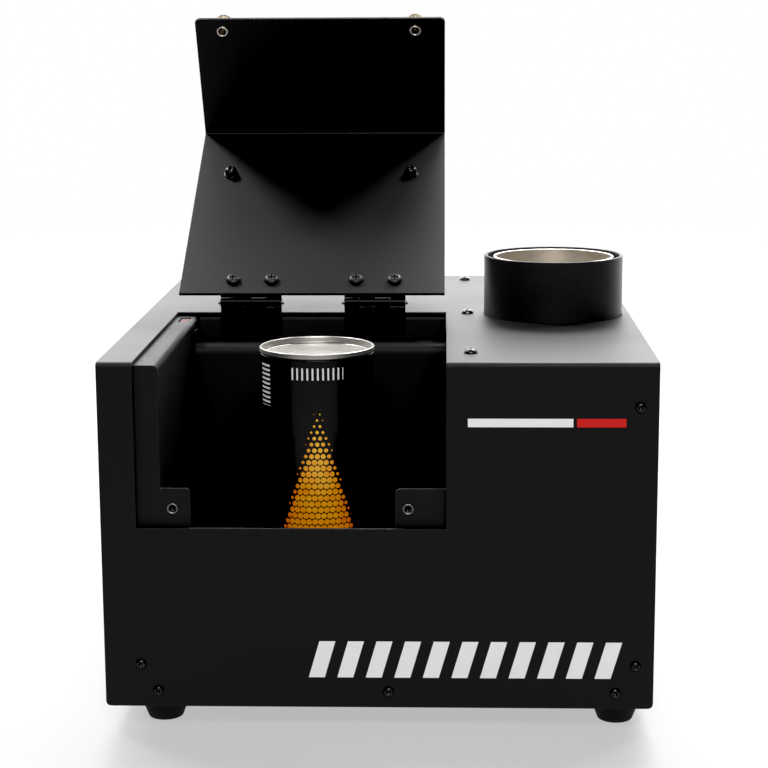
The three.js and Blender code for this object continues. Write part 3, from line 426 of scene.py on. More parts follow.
# The edge coat is paler than the body coat. Part of that is worn scuffs, and part is a painted highlight
# along the edges and bends.
EDGE_WEAR_AND_PAINTED_HIGHLIGHT = powder_coat("powder_coat_edge_wear_and_highlight", 0.011, 0.4)
INNER_SATIN = satin_paint()
TUBE_STEEL = rolled_steel()
ZINC = plated("zinc_plate", (0.52, 0.53, 0.55), (0.40, 0.41, 0.42), 0.34)
BRASS = plated("turned_brass", (0.62, 0.46, 0.20), (0.46, 0.33, 0.14), 0.28)
KNOB_BRASS = plated("dark_brass", (0.13, 0.10, 0.06), (0.08, 0.062, 0.038), 0.36)
COPPER = plated("drawn_copper", (0.66, 0.31, 0.18), (0.42, 0.19, 0.11), 0.3)
NICKEL = plated("nickel_plate", (0.78, 0.74, 0.69), (0.64, 0.59, 0.54), 0.34)
TINPLATE = tinplate()
CAN_PRINT = can_print()
OXIDE = oiled_black("black_oxide", 0.3)
DRY_OXIDE = oiled_black("dry_oxide", 0.46, 0.45, 0.08)
CAST_ZINC = plated("cast_zinc", (0.17, 0.165, 0.16), (0.11, 0.108, 0.104), 0.4)
DULL_NICKEL = plated("dull_nickel", (0.30, 0.29, 0.27), (0.16, 0.15, 0.14), 0.42)
CHIMNEY_COAT = powder_coat("chimney_coat", 0.012, 0.0)
HINGE_BLACK = gloss_black()
BLACK_PLASTIC = moulded("black_moulding", (0.010, 0.010, 0.011), 0.48)
RED_PLASTIC = moulded("red_moulding", (0.17, 0.007, 0.005), 0.34, 1600.0, 0.000008, 0.18)
PLUNGER_PINK = moulded("pink_moulding", (0.11, 0.03, 0.024), 0.5, 1600.0, 0.000008, 0.1)
CERAMIC = moulded("glazed_ceramic", (0.74, 0.71, 0.64), 0.22, 700.0, 0.000006, 0.5)
RUBBER = moulded("foot_rubber", (0.007, 0.007, 0.007), 0.72, 1000.0, 0.00004, 0.3)
WHITE_FILM = vinyl("white_film", (0.88, 0.88, 0.88))
RED_FILM = vinyl("red_film", (0.62, 0.012, 0.01))
BOARD = board_green()
GLASS = dark_glass()


# Mesh helpers

def arc_corners(points, steps=ARC_STEPS, closed=True):
    """The points of an outline of (a, b, radius) corners, with an arc at each rounded one."""
    made = []
    for index, (a, b, *rest) in enumerate(points):
        corner = Vector((a, b))
        radius = rest[0] if rest else 0.0
        open_end = not closed and index in (0, len(points) - 1)
        if radius <= 0 or open_end:
            made.append(corner)
            continue
        back = (Vector(points[index - 1][:2]) - corner).normalized()
        ahead = (Vector(points[(index + 1) % len(points)][:2]) - corner).normalized()
        half = back.angle(ahead) / 2
        middle = corner + (back + ahead).normalized() * (radius / math.sin(half))
        start = corner + back * (radius / math.tan(half)) - middle
        end = corner + ahead * (radius / math.tan(half)) - middle
        sweep = math.atan2(start.x * end.y - start.y * end.x, start.dot(end))
        for step in range(steps + 1):
            turn = sweep * step / steps
            cosine, sine = math.cos(turn), math.sin(turn)
            made.append(middle + Vector((
                start.x * cosine - start.y * sine, start.x * sine + start.y * cosine)))
    return made


def ring_at(bm, sides, height, reach):
    """A ring of vertices round Z. reach gives the radius at an angle."""
    angles = [2 * math.pi * k / sides for k in range(sides)]
    return [
        bm.verts.new((reach(angle) * math.cos(angle), reach(angle) * math.sin(angle), height))
        for angle in angles]


def round_ring(bm, radius, height):
    return ring_at(bm, ROUND, height, lambda angle: radius)


def on_axis(bm, height):
    """A ring of one vertex, to close an end."""
    return [bm.verts.new((0, 0, height))]


def join_rings(bm, rings):
    """Adds the faces from each ring of vertices to the next. A ring may be a single vertex."""
    for lower, upper in zip(rings, rings[1:]):
        count = max(len(lower), len(upper))
        if count == 1:
            continue
        for k in range(count):
            after = (k + 1) % count
            corners = (lower[k % len(lower)], lower[after % len(lower)],
                       upper[after % len(upper)], upper[k % len(upper)])
            bm.faces.new(tuple(dict.fromkeys(corners)))


def lay(bm, rings, turn):
    """Moves rings of vertices to where a turn places them."""
    bmesh.ops.transform(bm, matrix=turn, verts=[vert for ring in rings for vert in ring])


def lathe(bm, profile, sides, turn, knurl=None):
    """Adds a body of revolution about Z, from (radius, height, rounding) corners. turn places it.

    knurl is (lowest, highest, ridges, depth), for straight ridges between two heights.
    """
    lowest, highest, ridges, depth = knurl or (1.0, 0.0, 1, 0.0)
    ends_on_axis = profile[0][0] == 0
    rings = []
    for radius, height in arc_corners(profile, closed=not ends_on_axis):
        groove = depth / 2 if lowest <= height <= highest else 0.0
        if radius < ON_AXIS:
            rings.append(on_axis(bm, height))
        else:
            rings.append(ring_at(
                bm, sides, height, lambda angle: radius - groove * (1 - math.cos(ridges * angle))))
    join_rings(bm, rings if ends_on_axis else [*rings, rings[0]])
    lay(bm, rings, turn)


def prism(bm, corners, start, end, turn=None):
    """Adds an outline in X and Y carried along Z from start to end. turn places it."""
    points = arc_corners(corners)
    low = [bm.verts.new((a, b, start)) for a, b in points]
    high = [bm.verts.new((a, b, end)) for a, b in points]
    bm.faces.new(low[::-1])
    bm.faces.new(high)
    join_rings(bm, (low, high))
    if turn is not None:
        lay(bm, (low, high), turn)


def oblong(left, low, right, high, corner=0.0):
    """The corners of an upright oblong, with one rounding for all."""
    return [(left, low, corner), (right, low, corner), (right, high, corner), (left, high, corner)]


def sweep_tube(bm, points, radius, sides):
    """Adds a round bar through points, with flat ends. Its section doesn't twist."""
    rings = []
    across = None
    for index, point in enumerate(points):
        before = points[max(index - 1, 0)]
        after = points[min(index + 1, len(points) - 1)]
        ahead = (after - before).normalized()
        if across is None:
            across = ahead.orthogonal().normalized()
        across = (across - ahead * across.dot(ahead)).normalized()
        other = ahead.cross(across)
        rings.append([
            bm.verts.new(point + across * (radius * math.cos(2 * math.pi * k / sides))
                         + other * (radius * math.sin(2 * math.pi * k / sides)))
            for k in range(sides)])
    join_rings(bm, rings)
    bm.faces.new(rings[0][::-1])
    bm.faces.new(rings[-1])


def bent_path(corners, bend, steps):
    """Points of a route through corners, with a round bend at each inner one."""
    points = [Vector(corners[0])]
    for before, corner, after in zip(corners, corners[1:], corners[2:]):
        corner = Vector(corner)
        back = (Vector(before) - corner).normalized()
        ahead = (Vector(after) - corner).normalized()
        half = back.angle(ahead) / 2
        reach = bend / math.tan(half)
        middle = corner + (back + ahead).normalized() * (bend / math.sin(half))
        start = corner + back * reach - middle
        end = corner + ahead * reach - middle
        points += [
            middle + start.slerp(end, step / steps).normalized() * bend for step in range(steps + 1)]
    points.append(Vector(corners[-1]))
    return points


def sheet_strip(bm, route, thickness, start, end):
    """Adds sheet of one thickness that follows a route in Y and Z, from one X to another."""
    outer, inner = [], []
    for index, point in enumerate(route):
        ahead = (route[min(index + 1, len(route) - 1)] - route[max(index - 1, 0)]).normalized()
        out = Vector((-ahead.y, ahead.x)) * (thickness / 2)
        outer.append(point + out)
        inner.append(point - out)
    outline = outer + list(reversed(inner))
    near = [bm.verts.new((start, *corner)) for corner in outline]
    far = [bm.verts.new((end, *corner)) for corner in outline]
    join_rings(bm, (near, far))
    for k in range(len(route) - 1):
        for end_ring in (near, far):
            bm.faces.new((end_ring[k], end_ring[k + 1], end_ring[-2 - k], end_ring[-1 - k]))


def toward(point, direction):
    """A turn that lays +Z along a direction, with the origin at a point."""
    return Matrix.Translation(point) @ Vector(direction).to_track_quat("Z", "Y").to_matrix().to_4x4()


def facing_y(point):
    """A turn for outlines on the front and rear: X stays, Y goes up, and +Z goes back to -Y."""
    return Matrix.Translation(point) @ Matrix.Rotation(math.pi / 2, 4, "X")


HARD_EDGE = math.radians(32)
FLAT_ANGLE = math.radians(0.6)
WELD_REACH = 0.000005
NORMAL_WEIGHT = 60


def eased_edges(held, width, edge_slot):
    """Rounds an object's hard edges by a small width, in one of its materials."""
    edges = held.modifiers.new("eased_edges", "BEVEL")
    edges.width = width
    edges.segments = 2
    edges.limit_method = "ANGLE"
    edges.angle_limit = HARD_EDGE
    edges.use_clamp_overlap = False
    edges.material = edge_slot


def even_normals(held):
    shade = held.modifiers.new("even_normals", "WEIGHTED_NORMAL")
    shade.weight = NORMAL_WEIGHT
    shade.keep_sharp = True


def piece(name, bm, material, body, replaces=(), bevel=0.0, turn=None):
    """Finishes a mesh as a piece that rides on a body, with its hard edges eased.

    Where there are two materials, the eased edges take the second.
    """
    bmesh.ops.recalc_face_normals(bm, faces=bm.faces)
    for face in bm.faces:
        face.smooth = True
    mesh = bpy.data.meshes.new(name)
    bm.to_mesh(mesh)
    bm.free()
    if turn is not None:
        mesh.transform(turn)
    materials = material if isinstance(material, tuple) else (material,)
    for entry in materials:
        mesh.materials.append(entry)
    made = bpy.data.objects.new(name, mesh)
    bpy.context.scene.collection.objects.link(made)
    if bevel > 0:
        eased_edges(made, bevel, len(materials) - 1)
    even_normals(made)
    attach(made, body)
    if replaces:
        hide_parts(*([replaces] if isinstance(replaces, str) else replaces))


# Sheet metal and blocks that keep the frame's own shape

def smooth_shading():
    """A modifier group that turns on smooth shading."""
    tree = bpy.data.node_groups.new("smooth_faces", "GeometryNodeTree")
    tree.interface.new_socket("Geometry", in_out="INPUT", socket_type="NodeSocketGeometry")
    tree.interface.new_socket("Geometry", in_out="OUTPUT", socket_type="NodeSocketGeometry")
    entry = tree.nodes.new("NodeGroupInput")
    shade = tree.nodes.new("GeometryNodeSetShadeSmooth")
    leave = tree.nodes.new("NodeGroupOutput")
    tree.links.new(entry.outputs[0], shade.inputs["Geometry"])
    tree.links.new(shade.outputs["Geometry"], leave.inputs[0])
    return tree


SMOOTH_FACES = smooth_shading()
SHEET_EDGE = 0.00028


def ease(node, material, edge_material, width):
    """Gives a frame node its finish and rounds its hard edges by a small width."""
    held = frame["nodes"][node]
    held.data.materials.clear()
    held.data.materials.append(material)
    held.data.materials.append(edge_material)
    weld = held.modifiers.new("welded", "WELD")
    weld.merge_threshold = WELD_REACH
    flat = held.modifiers.new("whole_faces", "DECIMATE")
    flat.decimate_type = "DISSOLVE"
    flat.angle_limit = FLAT_ANGLE
    eased_edges(held, width, 1)
    shade = held.modifiers.new("smooth_faces", "NODES")
    shade.node_group = SMOOTH_FACES
    even_normals(held)


for painted in ("casing_cover", "base_tray", "rear_panel"):
    ease(painted, BLACK_COAT, EDGE_WEAR_AND_PAINTED_HIGHLIGHT, SHEET_EDGE)
for folded in ("liner_left", "liner_rear", "compartment_back", "divider_wall", "compartment_floor"):
    ease(folded, INNER_SATIN, EDGE_WEAR_AND_PAINTED_HIGHLIGHT, SHEET_EDGE)
for node, finish, width in (
        ("burner_bridge", ZINC, 0.0003), ("power_supply", ZINC, 0.0004), ("solenoid_valve", ZINC, 0.0004),
        ("solenoid_plunger", NICKEL, 0.0004), ("can_cradle", BLACK_PLASTIC, 0.0004),
        ("can_socket", BRASS, 0.0003), ("fuel_inlet_pipe", COPPER, 0.0002),
        ("fuel_outlet_pipe", COPPER, 0.0002), ("electrode_left", CERAMIC, 0.0002),
        ("electrode_right", CERAMIC, 0.0002), ("spark_transformer", BLACK_PLASTIC, 0.0006),
        ("control_board", BOARD, 0.00015), ("interlock_switch", BLACK_PLASTIC, 0.0002),
        ("interlock_plunger", PLUNGER_PINK, 0.0003), ("mains_inlet", BLACK_PLASTIC, 0.0004),
        ("power_rocker", RED_PLASTIC, 0.0004), ("control_socket_in", CAST_ZINC, 0.0002),
        ("control_socket_out", CAST_ZINC, 0.0002), ("display_window", GLASS, 0.0002),
        *((f"menu_button_{number}", RED_PLASTIC, 0.0004) for number in range(1, 5))):
    ease(node, finish, finish, width)


# Spray can

def spray_can():
    """The lacquered body with its shoulder and stem, and the bare rim and sunk base."""
    low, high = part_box("spray_can")
    x, y = (low.x + high.x) / 2, (low.y + high.y) / 2
    rim = (high.x - low.x) / 2
    body = rim - 0.0006
    stem = 0.007
    height = high.z - low.z
    neck = stem + 0.004
    bm = bmesh.new()
    lathe(bm, [
        (0, 0), (0.002, 0, 0.0004), (0.002, stem), (0.0128, stem, 0.0012), (0.0135, neck, 0.0008),
        (0.017, neck + 0.0012, 0.002), (body - 0.0035, neck + 0.0118, 0.004),
        (body, neck + 0.0168, 0.002), (body, height - 0.0036, 0.0004), (body - 0.0013, height - 0.0034),
        (body - 0.0013, height - 0.008), (0, height - 0.008),
    ], FINE, Matrix.Translation((x, y, low.z)))
    piece("can_body", bm, CAN_PRINT, "can", "spray_can")
    bm = bmesh.new()
    lathe(bm, [
        (0, height - 0.0052), (0.02, height - 0.0046, 0.02), (0.0292, height - 0.0039, 0.004),
        (rim - 0.0016, height - 0.0040, 0.0010), (rim - 0.0013, height - 0.0006, 0.0004),
        (rim - 0.0011, height, 0.0004), (rim - 0.0002, height, 0.0004), (rim, height - 0.0026, 0.0006),
        (body - 0.0002, height - 0.0032, 0.0004), (body - 0.0009, height - 0.0032, 0.0003),
        (body - 0.0009, height - 0.0050, 0.0006), (0.0292, height - 0.0049, 0.004),
        (0.02, height - 0.0056, 0.02), (0, height - 0.0062),
    ], FINE, Matrix.Translation((x, y, low.z)))
    piece("can_base", bm, TINPLATE, "can")


spray_can()


# Chimney and burner

def wall_ring(name, node, wall, edge, material, flange=None):
    """A round tube where a node is, with rounded edges and, where it has one, a foot flange."""
    low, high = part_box(node)
    x, y = (low.x + high.x) / 2, (low.y + high.y) / 2
    outer = (high.x - low.x) / 2
    bm = bmesh.new()
    if flange is None:
        profile = oblong(outer - wall, low.z, outer, high.z, edge)
    else:
        reach, thick = flange
        tube = outer - reach
        profile = [
            (tube - wall, low.z), (outer, low.z, edge), (outer, low.z + thick, edge),
            (tube, low.z + thick, wall), (tube, high.z, edge), (tube - wall, high.z, edge)]
    lathe(bm, profile, FINE, Matrix.Translation((x, y, 0)))
    piece(name, bm, material, "machine", node)


wall_ring("chimney_ring", "chimney_collar", 0.002, 0.0006, CHIMNEY_COAT)
wall_ring("burner_tube", "flame_tube", 0.0013, 0.0004, TUBE_STEEL, (0.006, 0.0015))


NOZZLE_BORE = 0.0012
NOZZLE_STEM = 0.005
NOZZLE_STEM_LENGTH = 0.009
NOZZLE_COLLAR = 0.008


def nozzle():
    low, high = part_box("burner_nozzle")
    x, y = (low.x + high.x) / 2, (low.y + high.y) / 2
    bm = bmesh.new()
    seat = low.z + NOZZLE_STEM_LENGTH + CLEARANCE
    lathe(bm, [
        (NOZZLE_BORE, low.z), (NOZZLE_STEM, low.z, 0.0004), (NOZZLE_STEM, seat),
        (NOZZLE_COLLAR, seat, 0.0005), (NOZZLE_COLLAR, seat + 0.004, 0.0006),
        (0.0062, seat + 0.0046, 0.0006), (0.0045, high.z, 0.0008), (NOZZLE_BORE, high.z, 0.0003),
    ], ROUND, Matrix.Translation((x, y, 0)))
    piece("gas_nozzle", bm, BRASS, "machine", "burner_nozzle")


nozzle()


# Screws

# Shank radius, head radius, head height and the socket's corner radius
M4_BUTTON = (0.002, 0.0038, 0.0022, 0.00145)
M3_BUTTON = (0.0015, 0.0029, 0.00165, 0.00115)
CASING_SCREW_LENGTH = 0.007
PANEL_SCREW_LENGTH = 0.0015
SOCKET_SHARE = 0.62

# Radius and height of each pan head
HINGE_HEAD = (0.0046, 0.0028)
HANDLE_HEAD = (0.0041, 0.0042)
SWITCH_HEAD = (0.0021, 0.0011)
INLET_HEAD = (0.0023, 0.0008)
FOOT_HEAD = (0.0038, 0.0022)

# The shapes of the heads, as shares of the radius and of the height
BUTTON_DOME = (
    (0.995, 0.0), (1.0, 0.14), (0.97, 0.34), (0.86, 0.62), (0.72, 0.84), (0.58, 0.965), (0.5, 1.0))
PAN_DOME = ((1.0, 0.0), (1.0, 0.32), (0.96, 0.58), (0.84, 0.82), (0.66, 0.95), (0.52, 1.0))


def hex_reach(corner):
    """The radius of a hexagon at an angle."""
    return lambda angle: corner * math.cos(math.pi / 6) / math.cos(angle % (math.pi / 3) - math.pi / 6)


def cross_reach(end, half):
    """The radius of a cross at an angle, from the reach and half the width of its arms."""
    def reach(angle):
        short_way, long_way = sorted((abs(math.cos(angle)), abs(math.sin(angle))))
        return min(end / long_way, max(half / max(short_way, NEAR_ZERO), half * math.sqrt(2)))
    return reach


def hex_button(bm, size, length, turn):
    """A button head screw with a real hexagon socket."""
    shank, head, rise, hole = size
    depth = rise * SOCKET_SHARE
    rings = [on_axis(bm, -length), round_ring(bm, shank, -length), round_ring(bm, shank, 0.0)]
    rings += [round_ring(bm, head * out, rise * up) for out, up in BUTTON_DOME]
    rings += [ring_at(bm, ROUND, rise * 0.985, hex_reach(hole)),
              ring_at(bm, ROUND, rise - depth, hex_reach(hole * 0.97)),
              on_axis(bm, rise - depth * 1.25)]
    join_rings(bm, rings)
    lay(bm, rings, turn)


def cross_head(bm, size, turn):
    """A pan head whose cross recess is cut as a real hollow."""
    head, rise = size
    rings = [on_axis(bm, 0.0)]
    rings += [round_ring(bm, head * out, rise * up) for out, up in PAN_DOME]
    rings += [ring_at(bm, ROUND, rise * 0.995, cross_reach(head * 0.5, head * 0.13)),
              ring_at(bm, ROUND, rise * 0.3, cross_reach(head * 0.3, head * 0.09)),
              on_axis(bm, rise * 0.2)]
    join_rings(bm, rings)
    lay(bm, rings, turn)


def casing_screws():
    for node in sorted(frame["nodes"]):
        if not node.startswith("screw_"):
            continue
        low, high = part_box(node)
        middle = (low + high) / 2
        bm = bmesh.new()
        if node.startswith("screw_top"):
            hex_button(bm, M4_BUTTON, CASING_SCREW_LENGTH, toward((middle.x, middle.y, TOP), Z_AXIS))
        else:
            hex_button(bm, M3_BUTTON, CASING_SCREW_LENGTH, toward((middle.x, FRONT, middle.z), -Y_AXIS))
        piece(node + "_head", bm, OXIDE, "machine", node)


casing_screws()

HINGE_SCREW_XS = (-0.0962, -0.0722, -0.0193, 0.0048)
HINGE_SCREW_INSET = 0.0128
LID_SHEET = 0.002
LID_FRONT = FRONT + 0.0004
LID_REAR = FRONT + 0.1786
LID_TOP = TOP + 0.002
LID_INNER = LID_TOP - LID_SHEET
HANDLE_FOOT = 0.007
HANDLE_SETBACK = 0.051
HANDLE_LOW, HANDLE_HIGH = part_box("lid_handle")
HANDLE_XS = {"left": HANDLE_LOW.x + HANDLE_FOOT, "right": HANDLE_HIGH.x - HANDLE_FOOT}
WASHER, WASHER_THICK = 0.0049, 0.0012


def lid_screws():
    """Four hinge screws and two handle screws on the inside of the lid."""
    for index, x in enumerate(HINGE_SCREW_XS):
        bm = bmesh.new()
        spot = (x, LID_REAR - HINGE_SCREW_INSET, LID_INNER)
        cross_head(bm, HINGE_HEAD, toward(spot, -Z_AXIS))
        piece(f"hinge_screw_{index + 1}", bm, DRY_OXIDE, "opening_lid", turn=LID_TURN)
    for side, x in HANDLE_XS.items():
        bm = bmesh.new()
        spot = Vector((x, LID_FRONT + HANDLE_SETBACK, LID_INNER))
        lathe(bm, [(0, 0), (WASHER, 0, 0.0002), (WASHER, 0.0009, 0.0003), (0.0036, 0.0011),
                   (0.0036, WASHER_THICK), (0, WASHER_THICK)], ROUND, toward(spot, -Z_AXIS))
        cross_head(bm, HANDLE_HEAD, toward(spot - Z_AXIS * WASHER_THICK, -Z_AXIS))
        piece(f"handle_screw_{side}", bm, OXIDE, "opening_lid", turn=LID_TURN)


lid_screws()


# Lid, its handle and its thumb screws

LID_CORNER = 0.0032
AT_EDGE = 0.0001


def lid_shell():
    """The bent lid: the frame's own solid with the free corners of its front flap rounded."""
    bm = bmesh.new()
    bm.from_mesh(frame["nodes"]["lid"].data)
    bmesh.ops.remove_doubles(bm, verts=bm.verts, dist=WELD_REACH)
    bmesh.ops.dissolve_limit(bm, angle_limit=FLAT_ANGLE, verts=bm.verts, edges=bm.edges)
    bmesh.ops.transform(bm, matrix=LID_TURN.inverted(), verts=bm.verts)
    lowest = min(vert.co.z for vert in bm.verts)
    sides = (min(vert.co.x for vert in bm.verts), max(vert.co.x for vert in bm.verts))
    corners = [
        edge for edge in bm.edges
        if all(vert.co.z < lowest + AT_EDGE for vert in edge.verts)
        and any(all(abs(vert.co.x - side) < AT_EDGE for vert in edge.verts) for side in sides)]
    bmesh.ops.bevel(
        bm, geom=corners, offset=LID_CORNER, segments=7, profile=0.5, affect="EDGES",
        clamp_overlap=False)
    piece("lid_shell", bm, (BLACK_COAT, EDGE_WEAR_AND_PAINTED_HIGHLIGHT), "opening_lid", "lid",
          bevel=SHEET_EDGE, turn=LID_TURN)


BOW = 0.0045
BOW_RISE = 0.036
BOW_BEND = 0.012


def lid_handle():
    """A round bow handle on two discs."""
    y = LID_FRONT + HANDLE_SETBACK
    seat = LID_TOP + CLEARANCE
    crown = LID_TOP + BOW_RISE - BOW
    left, right = HANDLE_XS.values()
    bm = bmesh.new()
    route = bent_path([
        (left, y, seat + 0.001), (left, y, crown), (right, y, crown), (right, y, seat + 0.001)],
        BOW_BEND, 14)
    sweep_tube(bm, route, BOW, ROUND)
    for x in HANDLE_XS.values():
        lathe(bm, [(0, 0), (HANDLE_FOOT, 0, 0.0003), (HANDLE_FOOT, 0.003, 0.0012),
                   (0.0052, 0.0032, 0.0004), (0, 0.0036)], ROUND, Matrix.Translation((x, y, seat)))
    piece("bow_handle", bm, BLACK_PLASTIC, "opening_lid", "lid_handle", turn=LID_TURN)


FERRULE_BORE = 0.0025
FERRULE_RIM = 0.0046
FERRULE_NECK = 0.0038
FERRULE_FLANGE = 0.0009
FERRULE_END = LID_SHEET + 0.0014
KNOB = 0.0056
KNOB_LENGTH = 0.009
KNURL_RIDGES = 36
KNURL_DEPTH = 0.0004
SPINDLE = 0.0022
THREAD = 0.00165


def thumb_screw(side):
    """A knurled captive screw and the ferrule that holds it in the lid's front flap."""
    joint = next(entry for entry in frame["joints"] if entry["name"] == f"thumb_{side}_spin")
    spot = LID_TURN.inverted() @ Vector(joint["pos_m"])
    face = LID_FRONT - CLEARANCE
    turn = toward((spot.x, face, spot.z), Y_AXIS)
    bm = bmesh.new()
    lathe(bm, [
        (FERRULE_BORE, -FERRULE_FLANGE, 0.0002), (FERRULE_RIM, -FERRULE_FLANGE, 0.0005),
        (FERRULE_RIM, 0, 0.0002), (FERRULE_NECK, 0), (FERRULE_NECK, FERRULE_END, 0.00055),
        (FERRULE_BORE, FERRULE_END, 0.00055),
    ], ROUND, turn)
    piece(f"ferrule_{side}", bm, NICKEL, "opening_lid", f"thumb_ferrule_{side}", turn=LID_TURN)
    seat = -FERRULE_FLANGE - CLEARANCE
    back = seat - KNOB_LENGTH
    bm = bmesh.new()
    lathe(bm, [
        (0, back + 0.0006), (SPINDLE, back + 0.0006, 0.0004), (0.0026, back, 0.0003),
        (KNOB - 0.0007, back, 0.0003), (KNOB, back + 0.0007, 0.0002), (KNOB, back + 0.001),
        (KNOB, seat - 0.0016), (KNOB, seat - 0.0013, 0.0002), (KNOB - 0.0009, seat - 0.0004, 0.0003),
        (0.0034, seat, 0.0002), (SPINDLE, seat), (SPINDLE, 0.0016, 0.0002), (THREAD, 0.0018),
        (THREAD, FERRULE_END, 0.0005), (0, FERRULE_END),
    ], KNURL_RIDGES * 4, turn, knurl=(back + 0.0009, seat - 0.0015, KNURL_RIDGES, KNURL_DEPTH))
    piece(f"thumb_knob_{side}", bm, KNOB_BRASS, f"{side}_thumb_screw",
          f"thumb_screw_{side}", turn=LID_TURN)


lid_shell()
lid_handle()
for side in ("left", "right"):
    thumb_screw(side)


# Hinges, with knuckles rolled from the leaves

KNUCKLES = 4
KNUCKLE_GAP = 0.00008
LEAF = 0.0012
LEAF_REACH = 0.017
LEAF_CORNER = 0.002
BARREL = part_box("hinge_left_fixed_leaf")[1].z - HINGE_POINT.z
CURL = BARREL - LEAF / 2
NUT = 0.0035


def curl(start, end, steps=24):
    """Points of the sheet's middle round the pin, from one angle in degrees to another."""
    made = []
    for step in range(steps + 1):
        angle = math.radians(start + (end - start) * step / steps)
        made.append(Vector((CURL * math.cos(angle), CURL * math.sin(angle))))
    return made


def knuckles(bm, left, right, route, places):
    """Rolled knuckles at some of the places along a hinge."""
    length = (right - left + KNUCKLE_GAP) / KNUCKLES
    middle = Vector((HINGE_POINT.y, HINGE_POINT.z))
    for place in places:
        start = left + place * length
        sheet_strip(bm, [middle + point for point in route], LEAF, start, start + length - KNUCKLE_GAP)


def fixed_leaf(side):
    """The upright leaf on the rear ledge, whose knuckles roll up and round the pin."""
    low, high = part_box(f"hinge_{side}_fixed_leaf")
    throat = -BARREL - 0.0007
    foot, knee, lip = Vector((0, throat)), Vector((0, -0.00265)), curl(-60, -60, 1)[0]
    neck = [foot * (1 - t) ** 2 + knee * (2 * t * (1 - t)) + lip * t ** 2
            for t in (step / 6 for step in range(6))]
    bm = bmesh.new()
    top = HINGE_POINT.z - BARREL - 0.00006
    prism(bm, [(low.x, low.z, LEAF_CORNER), (high.x, low.z, LEAF_CORNER), (high.x, top), (low.x, top)],
          -LEAF / 2, LEAF / 2, facing_y((0, HINGE_POINT.y, 0)))
    knuckles(bm, low.x, high.x, [Vector((0, throat - 0.001)), *neck, *curl(-60, 240)], (0, 2))
    piece(f"hinge_ledge_leaf_{side}", bm, HINGE_BLACK, "machine",
          f"hinge_{side}_fixed_leaf", bevel=0.00012)


def lid_leaf(side):
    """The leaf on top of the lid, with its nuts, drawn with the lid shut."""
    low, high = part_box(f"hinge_{side}_lid_leaf")
    bottom = HINGE_POINT.z - BARREL - LEAF
    front = HINGE_POINT.y - BARREL - LEAF_REACH
    back = HINGE_POINT.y - 0.0009
    route = arc_corners([
        (-BARREL - 0.003, -BARREL - LEAF / 2), (-CURL, -BARREL - LEAF / 2, 0.0009), (-CURL, 0)],
        6, closed=False) + curl(180, -75)[1:]
    bm = bmesh.new()
    prism(bm, [(low.x, front, LEAF_CORNER), (high.x, front, LEAF_CORNER), (high.x, back), (low.x, back)],
          bottom, bottom + LEAF)
    knuckles(bm, low.x, high.x, route, (1, 3))
    piece(f"hinge_lid_leaf_{side}", bm, HINGE_BLACK, "opening_lid",
          f"hinge_{side}_lid_leaf", bevel=0.00012, turn=LID_TURN)
    for x in HINGE_SCREW_XS:
        if not low.x < x < high.x:
            continue
        bm = bmesh.new()
        spot = Matrix.Translation((x, LID_REAR - HINGE_SCREW_INSET, bottom + LEAF))
        hexagon = [(NUT / math.cos(math.pi / 6) * math.cos(math.pi * k / 3),
                    NUT / math.cos(math.pi / 6) * math.sin(math.pi * k / 3)) for k in range(6)]
        prism(bm, hexagon, 0, 0.0028, spot)
        lathe(bm, [(0, 0.0025), (0.0019, 0.0025), (0.0019, 0.0040, 0.0004), (0, 0.0040)], SMALL, spot)
        number = HINGE_SCREW_XS.index(x) + 1
        piece(f"hinge_nut_{number}", bm, ZINC, "opening_lid", bevel=0.0003, turn=LID_TURN)


def hinge_pin(side):
    low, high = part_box(f"hinge_{side}_pin")
    head, length = 0.0012, high.x - low.x
    bm = bmesh.new()
    lathe(bm, [
        (0, 0), (0.0015, 0, 0.0007), (0.0015, head), (0.0012, head), (0.0012, length - head),
        (0.0015, length - head), (0.0015, length, 0.0007), (0, length),
    ], SMALL, toward((low.x, HINGE_POINT.y, HINGE_POINT.z), X_AXIS))
    piece(f"hinge_rod_{side}", bm, ZINC, "machine", f"hinge_{side}_pin")


for side in ("left", "right"):
    fixed_leaf(side)
    lid_leaf(side)
    hinge_pin(side)


# Threaded inserts in the tabs, and the screws of the interlock switch

INSERT_XS = {"left": -0.1112, "right": 0.0165}
INSERT_Z = 0.124
INSERT_FACE = FRONT + 0.0039
INSERT_RIM = 0.003
INSERT_LIP = 0.0026
INSERT_DEPTH = 0.001
THREAD_PITCH = 0.0007
WALL_FACE = -0.1175
WALL_SCREWS = ((-0.0185, 0.1952), (-0.0095, 0.1952))


def threaded_insert(side):
    """A plated ring with its thread, where the thumb screw goes in."""
    bore, root = 0.00185, 0.0021
    bm = bmesh.new()
    profile = [(INSERT_RIM, INSERT_DEPTH), (INSERT_RIM, -0.00025, 0.00025),
               (INSERT_LIP, -0.0004, 0.0002), (root, -0.0002)]
    turns = 6
    for turn in range(turns):
        profile += [(bore, (turn + 0.45) * THREAD_PITCH), (root, (turn + 0.95) * THREAD_PITCH)]
    profile += [(INSERT_LIP, turns * THREAD_PITCH + 0.0002), (INSERT_LIP, INSERT_DEPTH)]
    lathe(bm, profile, ROUND, toward((INSERT_XS[side], INSERT_FACE, INSERT_Z), Y_AXIS))
    piece(f"insert_ring_{side}", bm, DULL_NICKEL, "machine")


for side in ("left", "right"):
    threaded_insert(side)
for number, (y, z) in enumerate(WALL_SCREWS, 1):
    bm = bmesh.new()
    cross_head(bm, SWITCH_HEAD, toward((WALL_FACE, y, z), X_AXIS))
    piece(f"switch_screw_{number}", bm, OXIDE, "machine")


# Rear panel fittings

